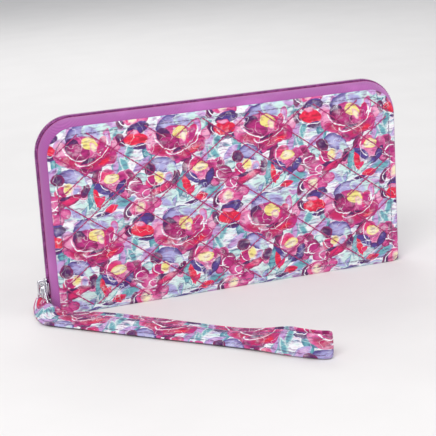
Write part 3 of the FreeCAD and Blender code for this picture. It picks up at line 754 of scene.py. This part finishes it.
# ---------------------------------------------------------------- wrist strap
def spline_through(points):
    """The points of a smooth NURBS line whose control points are these, in millimetres."""
    data = bpy.data.curves.new("line", "CURVE")
    data.dimensions = "3D"
    data.resolution_u = 14
    spline = data.splines.new("NURBS")
    spline.points.add(len(points) - 1)
    spline.points.foreach_set("co", np.column_stack([points * MM, np.ones(len(points))]).ravel())
    spline.order_u = 3
    spline.use_endpoint_u = True
    holder = bpy.data.objects.new("line", data)
    bpy.context.scene.collection.objects.link(holder)
    mesh = bpy.data.meshes.new_from_object(holder)
    found = np.zeros(len(mesh.vertices) * 3)
    mesh.vertices.foreach_get("co", found)
    bpy.data.objects.remove(holder)
    bpy.data.curves.remove(data)
    bpy.data.meshes.remove(mesh)
    return found.reshape(-1, 3) / MM


def leg_stations(side):
    """Middles and half widths of one leg: the route moved sideways, the strip leaning to the wallet."""
    route = np.array(STRAP_ROUTE)
    runs = normalised(np.diff(route[:, :2], axis=0))
    ahead = normalised(np.concatenate([runs[:1], runs[:-1] + runs[1:], runs[-1:]]))
    left = np.stack([-ahead[:, 1], ahead[:, 0]], 1)
    steep = np.radians(route[:, 2])
    rise = STRAP_OFF_TABLE + STRAP_HALF_WIDTH * np.sin(steep) + STRAP_THICK / 2 * np.cos(steep)
    middle = np.column_stack([route[:, :2] + side * STRAP_LEG_OFFSET * left, rise])
    half = np.column_stack([left * np.cos(steep)[:, None], np.sin(steep)]) * STRAP_HALF_WIDTH
    return middle, half


def bar_stations(rows):
    """Stations given along the ring's bar, outwards and up, turned into the row frame."""
    along = np.array([math.sin(RING_YAW), -math.cos(RING_YAW), 0.0])
    outward = np.array([-math.cos(RING_YAW), -math.sin(RING_YAW), 0.0])
    axes = np.array([along, outward, [0.0, 0.0, 1.0]])
    middles = np.array([row[0] for row in rows]) @ axes + np.array([HANG_X, 0.0, 0.0])
    return middles, np.array([row[1] for row in rows]) @ axes


def strap_line():
    """The strip's middle line, its half widths and its outward face, from one end to the other."""
    parts = [bar_stations(STRAP_WRAP), leg_stations(-1)]
    parts += [tuple(a[::-1] for a in leg_stations(1)), bar_stations(STRAP_TAIL)]
    middles = np.concatenate([part[0] for part in parts])
    halves = np.concatenate([part[1] for part in parts])
    top = spline_through(middles + halves)
    bottom = spline_through(middles - halves)
    line = (top + bottom) / 2
    half = (top - bottom) / 2
    ahead = normalised(np.gradient(line, axis=0))
    half = half - ahead * (half * ahead).sum(1, keepdims=True) * 0.6
    face = normalised(np.cross(half, ahead))
    return line, half, face


def strap():
    """A flat cloth strip: a rounded section with two sewn grooves carried along the line."""
    line, half, face = strap_line()
    section = squared_loop(1.0, STRAP_THICK / 2, 3.4, 40)
    groove = np.exp(-(((np.abs(section[:, 0]) - 0.70) / 0.07) ** 2))
    section[:, 1] *= 1 - 0.28 * groove
    strip = carried(line, half, face, section)
    across = np.broadcast_to(section[:, 0] * STRAP_HALF_WIDTH, (len(line), len(section)))
    strip.cloth = np.stack([np.broadcast_to(distance_along(line)[:, None], across.shape) - 78.0,
                            across + 83.0], -1).reshape(-1, 2)
    ribbon = piece("wrist_strap_cloth", [strip], "strap", PRINT_CLOTH, ["wrist_strap"])
    reach = distance_along(line)
    sewn = (reach > STRAP_UNSEWN) & (reach < reach[-1] - STRAP_UNSEWN)
    rows = []
    for edge in (-0.70, 0.70):
        for front in (-1.0, 1.0):
            row = line + half * edge + face * front * STRAP_THICK * 0.33
            rows.append(seam(row[sewn], (face * front)[sewn], 3.0, 0.17))
    thread_rows = piece("wrist_strap_stitches", rows, "strap", EDGE_THREAD)
    (line * MM).tolist()


# ---------------------------------------------------------------- covers
def edge_distance(x, z):
    """How far a point is inside the covers' outline, a box with rounded corners."""
    radius = np.where(z > HEIGHT / 2, TOP_RADIUS, LOW_RADIUS)
    over_x = np.abs(x) - (HALF_WIDTH - radius)
    over_z = np.abs(z - HEIGHT / 2) - (HEIGHT / 2 - radius)
    outside = np.hypot(np.maximum(over_x, 0), np.maximum(over_z, 0))
    return radius - outside - np.minimum(np.maximum(over_x, over_z), 0)


def row_half_width(z):
    """Half the covers' width at a height: less a circle's sagitta at each rounded corner."""
    low = np.clip(LOW_RADIUS - z, 0, LOW_RADIUS)
    high = np.clip(z - (HEIGHT - TOP_RADIUS), 0, TOP_RADIUS)
    low_cut = LOW_RADIUS - np.sqrt(LOW_RADIUS ** 2 - low ** 2)
    return HALF_WIDTH - low_cut - (TOP_RADIUS - np.sqrt(TOP_RADIUS ** 2 - high ** 2))


def finer_at_ends(count, fine=7, band=0.02):
    """Even steps from 0 to 1, with shorter ones near both ends."""
    edge = band * np.linspace(0, 1, fine) ** 1.5
    return np.concatenate([edge[:-1], np.linspace(band, 1 - band, count), 1 - edge[-2::-1]])


def quilted_depth(x, z):
    """Distance of the face from the middle plane: pillows between the quilting, a rolled edge."""
    inside = edge_distance(x, z)
    slope = (z - QUILT_TOP_Z) / DIAMOND_HIGH
    one = np.abs(np.sin(np.pi * (x / DIAMOND_WIDE + slope + 0.5)))
    other = np.abs(np.sin(np.pi * (x / DIAMOND_WIDE - slope + 0.5)))
    fade = np.clip((inside - 3.0) / 6.0, 0, 1)
    pillow = PILLOW * (one * other) ** 0.42 * fade + 0.25 * np.clip(1 - np.abs(inside - 2.3) / 1.7, 0, 1)
    pillow = pillow + 0.22 * np.sin(x / 31.0 + 0.8) * np.sin(z / 23.0) * fade
    roll = np.sqrt(1 - (1 - np.clip(inside / EDGE_ROLL, 0, 1)) ** 2)
    return 11.2 * (1 - roll) + (12.1 + pillow) * roll


def cover_panel(name, side, body, node):
    """The quilted face of a cover as rows that follow its outline, with a flat back."""
    up = finer_at_ends(128) * HEIGHT
    z = np.broadcast_to(up[:, None], (len(up), len(finer_at_ends(250))))
    x = row_half_width(z) * (2 * finer_at_ends(250)[None, :] - 1)
    inside = np.clip(edge_distance(x, z) / EDGE_ROLL, 0, 1)
    front = np.stack([x, side * quilted_depth(x, z), z], -1)
    back = np.stack([x, side * (PANEL_Y + 0.35 * (1 - inside)), z], -1)
    cloth = np.stack([x * -side, z], -1)
    made = piece(name, [slab(front, back, cloth)], body, PRINT_CLOTH, [node])
    return made


def quilting_lines():
    """Straight lines of the two slanting families, as pairs of arrays of x and z."""
    lines = []
    for family in (1.0, -1.0):
        for number in range(-9, 11):
            x = np.arange(-HALF_WIDTH, HALF_WIDTH, 0.5)
            z = QUILT_TOP_Z + family * DIAMOND_HIGH * (number - 0.5 - x / DIAMOND_WIDE)
            keep = (z > 0) & (z < HEIGHT)
            keep &= edge_distance(x, np.clip(z, 0, HEIGHT)) > EDGE_STITCH_IN - 0.6
            if keep.sum() > 8:
                lines.append((x[keep], z[keep]))
    return lines


def cover_stitching(name, side, body):
    """Thick quilting thread in the valleys and fine thread round the edge."""
    rows = []
    for x, z in quilting_lines():
        line = np.stack([x, side * (quilted_depth(x, z) + 0.20), z], 1)
        rows.append(seam(line, np.tile([0.0, side, 0.0], (len(x), 1)), 2.7, 0.36, 0.96))
    piece(name + "_quilting", rows, body, QUILT_THREAD)
    line, out = cover_loop(-EDGE_STITCH_IN)
    line[:, 1] = side * (quilted_depth(line[:, 0], line[:, 2]) + 0.05)
    row = seam(line, np.tile([0.0, side, 0.0], (len(line), 1)), 2.4, 0.2, 0.84)
    piece(name + "_edge_stitching", [row], body, EDGE_THREAD)


def cover_loop(grow, low=None, step=1.0):
    """The covers' outline grown outwards, from its low left end round the top to its low right end;
    without a low end it goes right round.  Gives points in the middle plane and outward directions."""
    half, top, radius = HALF_WIDTH + grow, HEIGHT + grow, TOP_RADIUS + grow
    start = -grow + LOW_RADIUS if low is None else low
    quarter = np.linspace(0, np.pi / 2, 18)
    rise = np.arange(start, top - radius, step)
    run = np.arange(-half + radius + step, half - radius, step)
    left = np.stack([np.full(len(rise), -half), rise, np.full(len(rise), -1.0), 0 * rise], 1)
    bend = np.stack([-half + radius - radius * np.cos(quarter), top - radius + radius * np.sin(quarter),
                     -np.cos(quarter), np.sin(quarter)], 1)
    flat = np.stack([run, np.full(len(run), top), 0 * run, np.full(len(run), 1.0)], 1)
    upper = np.concatenate([left, bend, flat])
    mirror = np.concatenate([left, bend])[::-1] * np.array([-1.0, 1.0, -1.0, 1.0])
    whole = np.concatenate([upper, mirror])
    if low is None:
        base = np.arange(half - LOW_RADIUS, -half + LOW_RADIUS, -step)
        bottom = np.stack([base, np.full(len(base), -grow + 0.0), 0 * base, np.full(len(base), -1.0)], 1)
        whole = np.concatenate([whole, bottom, whole[:1]])
    middle = np.zeros(len(whole))
    return np.stack([whole[:, 0], middle, whole[:, 1]], 1), np.stack([whole[:, 2], middle, whole[:, 3]], 1)


# ---------------------------------------------------------------- zip
def zip_offset(out, grown):
    """Less growth at the two ends than along the top, by how far the outline faces sideways."""
    return grown * (1 - (1 - CHAIN_OUT_SIDE / CHAIN_OUT_TOP) * out[:, :1] ** 2)


TAPE_LOW = 1.0
TAPE_THICK = 0.7
TAPE_THIN = 0.42                # under the chain
ARCH_TOP_Y = 3.2                # where the tape's arch is highest, from the wallet's middle plane
ARCH_WIDE = 7.3
ARCH_POWER = 1.6


def tape_profile():
    """The tape's section: tucked under the cover, arched out, then dipping under the chain."""
    y = np.linspace(10.45, 3.0, 16)
    fall = (np.clip(y - ARCH_TOP_Y, 0, None) / ARCH_WIDE) ** ARCH_POWER
    arch = (CHAIN_OUT_TOP + 0.15) * (1 - fall)
    low = CHAIN_OUT_TOP + np.array([-0.02, -0.35, -0.62, -0.70, -0.72])
    grown = np.concatenate([[-1.8, -0.7], arch, low])
    outer = np.stack([grown, np.concatenate([[10.25, 10.35], y, [2.7, 2.45, 2.1, 1.4, 0.75]])], 1)
    ahead = np.gradient(outer, axis=0)
    inward = np.stack([ahead[:, 1], -ahead[:, 0]], 1)
    inward /= np.linalg.norm(inward, axis=1, keepdims=True)
    thick = np.interp(outer[:, 1], [2.2, 3.4], [TAPE_THIN, TAPE_THICK])[:, None]
    return np.concatenate([outer, (outer + inward * thick)[::-1]])


def zip_tape(name, side, body):
    """The tape's section carried round the covers' edge."""
    base, out = cover_loop(0.0, TAPE_LOW)
    profile = tape_profile()
    grow = profile[None, :, :1] * (1 - (1 - CHAIN_OUT_SIDE / CHAIN_OUT_TOP) * out[:, None, :1] ** 2)
    points = base[:, None] + out[:, None] * grow
    points[:, :, 1] = side * profile[None, :, 1]
    rows, cols = points.shape[:2]
    around = np.concatenate([[0.0], np.cumsum(np.linalg.norm(np.diff(profile, axis=0), axis=1))])
    u, v = np.meshgrid(distance_along(base), around, indexing="ij")
    ends = [range(cols), range((rows - 1) * cols, rows * cols)]
    shell = Shell(points, grid_quads(rows, cols, False, True), ends, np.stack([u, v], -1))
    made = piece(name, [shell], body, TAPE_CLOTH, [name.replace("cloth", "tape")])
    name.split("_")[0] + "_panel"


def coil(line, radial, sideways, pitch, reach_out, reach_side, wire, per_turn=10, sides=5):
    """A filament wound round a line: an ellipse in the two given directions, one turn per pitch."""
    length = distance_along(line)[-1]
    turns = int(length / pitch)
    at = np.linspace(0, turns * pitch, turns * per_turn + 1)
    centre, out, across = resampled(line, at, (radial, sideways))
    turn = at[:, None] / pitch * 2 * np.pi
    bulge = out * np.cos(turn) * reach_out + across * np.sin(turn) * reach_side
    path = centre + bulge
    ahead = normalised(np.gradient(path, axis=0))
    outward = normalised(out * np.cos(turn) * reach_side + across * np.sin(turn) * reach_out)
    return carried(path, outward, normalised(np.cross(ahead, outward)), circle(wire, sides))


COIL_PITCH = 1.35
COIL_WIRE = 0.33
COIL_Y = 1.38                   # each coil's middle, from the wallet's middle plane
COIL_RISE = 0.33                # its middle above the chain's
COIL_REACH = (0.55, 0.72)       # the winding's half sizes, outwards and sideways
SEWING_Y = 3.3


def zip_chain(name, side, body, node):
    """One half of the chain, and the row of thread that sews it to its tape."""
    base, out = cover_loop(0.0, CHAIN_LOW)
    line = base + out * zip_offset(out, CHAIN_OUT_TOP + COIL_RISE)
    line[:, 1] = side * COIL_Y
    across = np.tile([0.0, side, 0.0], (len(line), 1))
    wound = coil(line, out, across, COIL_PITCH, *COIL_REACH, COIL_WIRE)
    core = carried(line, out, across, circle(0.36, 6))
    piece(name, [wound, core], body, COIL_NYLON, [node])
    row = base + out * zip_offset(out, CHAIN_OUT_TOP + 0.05)
    row[:, 1] = side * SEWING_Y
    piece(name + "_sewing", [seam(row, out, 2.2, 0.17)], body, QUILT_THREAD)


def stop_block(x, y, z, half_x, half_y, half_z):
    return pebble(squared_loop(half_x, half_z, 5.0, 20, centre=(x, z)), y, half_y, "xzy", 5.0, rings=9)


def zip_stops(name, side, body, node):
    """Two small clamps, rounded blocks, one at each end of a chain half."""
    shells = [stop_block(end * CHAIN_X, side * 1.5, 6.4, 1.15, 0.95, 1.25) for end in (-1, 1)]
    piece(name, shells, body, SILVER, [node])


def main_slider():
    """Two rounded wings, the rails that hold the chain, the post, the crown."""
    wing = squared_loop(4.4, 5.5, 3.0, 40, taper=0.06, centre=(0.0, 13.5))
    narrow = squared_loop(4.2, 5.4, 3.0, 40, taper=0.06, centre=(0.0, 13.5))
    shells = [pebble(wing, CHAIN_X - 1.9, 0.6, "yzx", 3.2, dome=0.15),
              pebble(narrow, CHAIN_X + 1.9, 0.6, "yzx", 3.2)]
    for side in (-1, 1):
        rail = squared_loop(0.55, 3.4, 3.0, 24, centre=(side * 3.75, 14.0))
        shells.append(pebble(rail, CHAIN_X - 1.05, 0.35, "yzx", 3.0))
        shells.append(pebble(rail, CHAIN_X + 1.1, 0.25, "yzx", 3.0))
    post = squared_loop(0.27, 1.5, 3.0, 16, centre=(0.0, 17.3))
    shells.append(pebble(post, CHAIN_X, 1.6, "yzx", 6.0))
    piece("zip_slider", shells, "slider", SILVER, ["slider_body"])
    inner = squared_loop(1.65, 3.3, 4.0, 40, centre=(CHAIN_X - 4.05, 14.1))
    outer = squared_loop(2.2, 4.3, 4.5, 40, centre=(CHAIN_X - 4.4, 14.1))
    piece("zip_slider_bridge", [collar(inner, outer, 0.0, 0.78, "xzy", 3.5)], "slider",
          SILVER, ["slider_crown"])


def main_pull():
    """A teardrop tab: a plate between a large and a small tapered loop, round its bar."""
    inner = squared_loop(1.22, 2.75, 2.6, 44, taper=-0.06, centre=(0.0, 11.35))
    outer = squared_loop(2.15, 3.95, 2.4, 44, taper=-0.20, centre=(0.0, 11.3))
    tab = collar(inner, outer, HANG_X, 0.45, "yzx", 2.8, 14)
    piece("zip_pull_tab", [tab], "pull", SILVER, ["pull_tab"])


RING_APEX_Z = 16.2
RING_APEX_HALF = 2.5
RING_BAR_HALF = 7.6
RING_WIRE = 0.62


def strap_ring():
    """Round wire bent to a triangle: straight runs with their corners eased by a circle."""
    corners = np.array([(-RING_BAR_HALF, RING_BAR_Z), (RING_BAR_HALF, RING_BAR_Z),
                        (RING_APEX_HALF, RING_APEX_Z), (-RING_APEX_HALF, RING_APEX_Z)])
    middle = (corners + np.roll(corners, -1, axis=0)) / 2
    t = np.linspace(0, 1, 15)[:-1, None]
    ease = 1.6
    loop = []
    for k in range(4):
        here, before, after = corners[k], middle[k - 1], middle[k]
        start = here + (before - here) * min(1.0, ease / np.linalg.norm(before - here))
        end = here + (after - here) * min(1.0, ease / np.linalg.norm(after - here))
        loop.append(before + (start - before) * t)
        loop.append(start * (1 - t) ** 2 + here * 2 * t * (1 - t) + end * t ** 2)
        loop.append(end + (after - end) * t)
    flat = np.concatenate(loop)
    along = np.array([-math.sin(RING_YAW), math.cos(RING_YAW), 0.0])
    outward = np.array([math.cos(RING_YAW), math.sin(RING_YAW), 0.0])
    centres = np.array([HANG_X, 0, 0]) + flat[:, :1] * along + flat[:, 1:] * np.array([0, 0, 1.0])
    ahead = normalised(np.roll(centres, -1, axis=0) - np.roll(centres, 1, axis=0))
    out = np.tile(outward, (len(centres), 1))
    wire = carried(centres, out, np.cross(ahead, out), circle(RING_WIRE, 14), closed=True)
    piece("strap_ring", [wire], "ring", SILVER, ["triangle_ring"])


# ---------------------------------------------------------------- spine and hinge
def spine():
    """The printed strip that the wallet stands on, and its lining."""
    u = finer_at_ends(90)
    v = finer_at_ends(16, 5, 0.12)
    x = np.broadcast_to((2 * u[None, :] - 1) * 101.0, (len(v), len(u)))
    y = np.broadcast_to((-9.2 + 19.7 * v)[:, None], x.shape)
    inside = np.minimum(101.0 - np.abs(x), np.minimum(y + 9.2, 10.5 - y))
    roll = np.sqrt(1 - (1 - np.clip(inside / 1.2, 0, 1)) ** 2)
    under = np.stack([x, y, 1.0 - 0.95 * roll], -1)
    over = np.stack([x, y, 1.3 + 1.05 * roll], -1)
    cloth = np.stack([x, y - 12.5], -1)
    made = piece("spine_cloth", [slab(under, over, cloth)], "back_and_spine", PRINT_CLOTH,
                 ["spine_panel"])
    low = np.stack([x * 98.5 / 101, y * 0.96, 2.40 + 0 * x], -1)
    high = np.stack([x * 98.5 / 101, y * 0.96, 2.55 + 0.4 * roll], -1)
    made = piece("spine_lining_cloth", [slab(high, low, cloth)], "back_and_spine",
                 LINING_CLOTH, ["spine_lining"])


def hinge_fold():
    """The strip of print that bends between the spine and the front cover."""
    u = np.linspace(-97.0, 97.0, 120)
    v = np.linspace(0, 1, 14)
    x = np.broadcast_to(u[None, :], (len(v), len(u)))
    y = np.broadcast_to((-8.2 - 3.2 * v)[:, None], x.shape)
    sag = 0.35 * np.sin(np.pi * v)[:, None] + 0 * x
    under = np.stack([x, y, 0.35 + sag], -1)
    over = np.stack([x, y, 0.95 + sag], -1)
    made = piece("hinge_cloth", [slab(under, over, np.stack([x, y - 12.5], -1))], None,
                 PRINT_CLOTH)
    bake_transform(made)


# ---------------------------------------------------------------- inside
def cover_lining(name, side, body, node):
    """Twill over the board: rows that follow the outline, turned down round the board's edge."""
    shrink = 2.0
    up = finer_at_ends(40)
    z = np.broadcast_to((shrink + up * (HEIGHT - 2 * shrink))[:, None], (len(up), len(finer_at_ends(80))))
    x = (row_half_width(z) - shrink) * (2 * finer_at_ends(80)[None, :] - 1)
    inside = np.clip((edge_distance(x, z) - shrink) / 1.3, 0, 1)
    roll = np.sqrt(1 - (1 - inside) ** 2)
    face = np.stack([x, side * (10.25 - (10.25 - LINING_Y) * roll), z], -1)
    rear = np.stack([x, side * (10.45 - (10.45 - BOARD_Y) * roll), z], -1)
    made = piece(name, [slab(face, rear, np.stack([x, z], -1))], body, LINING_CLOTH, [node])
    name.split("_")[0] + "_board"
    line, out = cover_loop(-shrink - 2.2)
    line[:, 1] = side * (LINING_Y - 0.05)
    row = seam(line, np.tile([0.0, -side, 0.0], (len(line), 1)), 2.6, 0.16)
    piece(name + "_stitches", [row], body, LINING_THREAD)


POCKET_SIDE = 94.0
POCKET_LOW = 7.0
HEM = 5.0


def pocket_sheet(name, side, body, node, back_y, top, columns, puff=0.22):
    """A flat pocket: cloth with a folded hem at its top, sewn down its sides and between columns."""
    x_steps = np.linspace(-POCKET_SIDE, POCKET_SIDE, 121)
    hem_steps = top - HEM + np.array([-0.3, 0.0, 0.35, 1.2, 2.5, 3.8, 4.6, 4.9, 5.0])
    z_steps = np.concatenate([np.linspace(POCKET_LOW, top - HEM - 0.8, 28), hem_steps])
    x, z = np.meshgrid(x_steps, z_steps)
    seams = np.abs(np.sin(np.pi * columns * (x + POCKET_SIDE) / (2 * POCKET_SIDE)))
    rise = puff * np.clip(seams * 3, 0, 1) * np.clip((z - POCKET_LOW) / 12, 0, 1)
    hem = 0.16 * np.clip((z - (top - HEM)) / 0.35, 0, 1) - 0.2 * np.clip((z - top + 0.4) / 0.4, 0, 1)
    mouth = top - 0.5 * np.sin(np.pi * columns * (x + POCKET_SIDE) / (2 * POCKET_SIDE)) ** 2
    high = z * np.where(z > top - HEM, mouth / top, 1.0)
    face = np.stack([x, side * (back_y - 0.36 - rise - hem), high], -1)
    rear = np.stack([x, side * (back_y - 0.03 - rise * 0.8), high], -1)
    made = piece(name, [slab(face, rear, np.stack([x, z], -1))], body, LINING_CLOTH, [node])
    name.split("_")[0] + "_lining_cloth"
    rows = []
    for low in (1.4, HEM - 1.0):
        line = np.stack([x_steps, np.full(121, side * (back_y - 0.66 - puff * 0.9)), np.full(121, top - low)], 1)
        rows.append(seam(line, np.tile([0.0, -side, 0.0], (121, 1)), 2.4, 0.15))
    for at in np.linspace(-POCKET_SIDE + 1.2, POCKET_SIDE - 1.2, columns + 1):
        up = np.linspace(POCKET_LOW + 1, top - 1, 60)
        line = np.stack([np.full(60, at), np.full(60, side * (back_y - 0.45)), up], 1)
        rows.append(seam(line, np.tile([0.0, -side, 0.0], (60, 1)), 2.4, 0.15))
    piece(name + "_stitches", rows, body, LINING_THREAD)


def gusset(name, side, node):
    """A pleated side wall: two folds in plan, their corners rounded, raised from low to high."""
    y = np.linspace(-9.0, 9.0, 61)
    fold = np.abs((y + 9.0) / 9.0 % 1.0 * 2 - 1)
    fold = fold ** 1.25
    z = np.linspace(4.2, 86.0, 42)
    yy, zz = np.meshgrid(y, z)
    wave = np.broadcast_to(fold[None], yy.shape)
    lean = 0.35 * np.sin(zz / 9.0) * (1 - np.abs(yy) / 9.0)
    out = 95.9 + 4.1 * wave + lean * 0.4
    face = np.stack([side * out, yy, zz], -1)
    rear = np.stack([side * (out - 0.5), yy, zz], -1)
    length = distance_along(np.stack([y, 4.1 * fold, 0 * y], 1))
    cloth = np.stack([np.broadcast_to(length[None], yy.shape), zz], -1)
    made = piece(name, [slab(face, rear, cloth)], None, LINING_CLOTH, [node])
    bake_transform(made)


POCKET_HALF = 92.0
WALL_LOW = 4.5
WALL_TOP = 86.0


def coin_pocket():
    """Two cloth walls, puffed a little, bound round their edges."""
    x, z = np.meshgrid(np.linspace(-POCKET_HALF, POCKET_HALF, 121), np.linspace(WALL_LOW, WALL_TOP, 44))
    across = 1 - (x / POCKET_HALF) ** 4
    puff = 0.5 * across * np.sin(np.pi * (z - WALL_LOW) / (WALL_TOP - WALL_LOW)) ** 0.6
    for name, side in (("pocket_front_wall", -1), ("pocket_back_wall", 1)):
        face = np.stack([x, side * (1.75 + puff), z], -1)
        rear = np.stack([x, side * (1.25 + puff), z], -1)
        made = piece(name + "_cloth", [slab(face, rear, np.stack([x, z], -1))], "coin_pocket",
                     LINING_CLOTH, [name])
    rise = np.linspace(WALL_TOP, WALL_LOW + 3, 60)
    bend = np.linspace(0, np.pi / 2, 9)[1:-1]
    run = np.linspace(-POCKET_HALF + 3, POCKET_HALF - 3, 100)
    left = np.stack([np.full(60, -POCKET_HALF), rise], 1)
    corner = np.stack([-POCKET_HALF + 3 - 3 * np.cos(bend), WALL_LOW + 3 - 3 * np.sin(bend)], 1)
    flat = np.concatenate([left, corner, np.stack([run, np.full(100, WALL_LOW)], 1),
                           (corner * [-1, 1])[::-1], (left * [-1, 1])[::-1]])
    line = np.stack([flat[:, 0], np.zeros(len(flat)), flat[:, 1]], 1)
    ahead = normalised(np.gradient(line, axis=0))
    across = np.tile([0.0, 1.0, 0.0], (len(line), 1))
    inward = np.cross(ahead, across)
    section = squared_loop(1.5, 2.15, 3.0, 24)
    shell = carried(line - inward * 0.9, inward, across, section)
    piece("pocket_binding", [shell], "coin_pocket", TAPE_CLOTH, ["pocket_seam"])


COIN_LINE_Z = 88.5


def coin_zip():
    """Tapes, two straight coils and their stops along the coin pocket's mouth."""
    tapes, coils = [], []
    x = np.linspace(-POCKET_HALF, POCKET_HALF, 140)
    for side in (-1, 1):
        line = np.stack([x, np.full(140, side * 1.55), np.full(140, 87.2)], 1)
        across = np.tile([0.0, side, 0.0], (140, 1))
        up = np.tile([0.0, 0.0, 1.0], (140, 1))
        tapes.append(carried(line, up, across, squared_loop(2.1, 0.30, 3.2, 24)))
        inner = np.linspace(-88.0, 88.0, 200)
        line = np.stack([inner, np.full(200, side * 0.86), np.full(200, COIN_LINE_Z)], 1)
        across = np.tile([0.0, side, 0.0], (200, 1))
        up = np.tile([0.0, 0.0, 1.0], (200, 1))
        coils.append(coil(line, up, across, 1.2, 0.66, 0.18, 0.22))
    piece("coin_zip_tape_cloth", tapes, "coin_pocket", TAPE_CLOTH, ["coin_zip_tape"])
    piece("coin_zip_coils", coils, "coin_pocket", COIL_NYLON, ["coin_zip_chain"])
    stops = [stop_block(end * 89.0, 0.0, COIN_LINE_Z, 1.0, 1.15, 0.95) for end in (-1, 1)]
    piece("coin_zip_end_stops", stops, "coin_pocket", SILVER, ["coin_zip_stops"])


def coin_slider():
    """The small slider: two plates, a post, a bridge, and a flat pull with an eye."""
    plate = squared_loop(4.0, 2.35, 3.0, 36, centre=(-80.0, 0.0))
    under = squared_loop(3.9, 0.88, 3.0, 36, centre=(-80.0, 0.0))
    post = squared_loop(0.7, 0.14, 2.5, 14, centre=(-83.0, 0.0))
    shells = [pebble(plate, 90.15, 0.45, "xyz", 3.2, dome=0.06), pebble(under, 86.85, 0.45, "xyz", 3.2),
              pebble(post, 88.5, 1.5, "xyz", 6.0)]
    piece("coin_slider_plates", shells, "coin_slider", SILVER, ["coin_slider_body"])
    inner = squared_loop(2.15, 0.85, 4.0, 40, centre=(-80.0, 91.4))
    outer = squared_loop(2.95, 1.6, 4.0, 40, centre=(-80.0, 91.5))
    piece("coin_slider_bridge", [collar(inner, outer, 0.0, 0.58, "xzy", 3.5)], "coin_slider",
          SILVER, ["coin_slider_crown"])
    eye = squared_loop(0.9, 0.9, 2.0, 40, centre=(-67.0, 0.0))
    blade = squared_loop(5.3, 1.88, 3.2, 40, centre=(-70.1, 0.0))
    gap = squared_loop(1.55, 0.95, 3.0, 40, centre=(-76.8, 0.0))
    ears = squared_loop(2.4, 1.85, 3.0, 40, centre=(-76.85, 0.0))
    pull = [collar(eye, blade, 91.45, 0.4, "xyz", 3.0), collar(gap, ears, 91.45, 0.4, "xyz", 3.0)]
    piece("coin_pull", pull, "coin_pull", SILVER, ["coin_slider_pull"])


# ---------------------------------------------------------------- build
def covers():
    for name, side, body in (("front", -1, "front_cover"), ("back", 1, "back_and_spine")):
        cover_panel(name + "_panel", side, body, name + "_outer_panel")
        cover_stitching(name, side, body)
        zip_tape(name + "_zip_cloth", side, body)
        zip_chain(name + "_zip_coil", side, body, name + "_zip_chain")
        zip_stops(name + "_zip_end_stops", side, body, name + "_zip_stops")
        cover_lining(name + "_lining_cloth", side, body, name + "_lining")
        back_y = LINING_Y
        for tier, top in enumerate((80.0, 67.0, 54.0)):
            node = f"{name}_card_slot_{tier + 1}"
            pocket_sheet(node + "_cloth", side, body, node, back_y, top, 2)
            back_y -= 0.5
        node = name + "_slip_pocket"
        pocket_sheet(node + "_cloth", side, body, node, back_y, 46.0, 1, 0.3)
        for slot in bpy.data.objects[name + "_board"].material_slots:
            slot.material = BOARD


camera()
studio()
strap()
covers()
spine()
hinge_fold()
gusset("left_gusset_cloth", -1, "gusset_left")
gusset("right_gusset_cloth", 1, "gusset_right")
coin_pocket()
coin_zip()
coin_slider()
main_slider()
main_pull()
strap_ring()
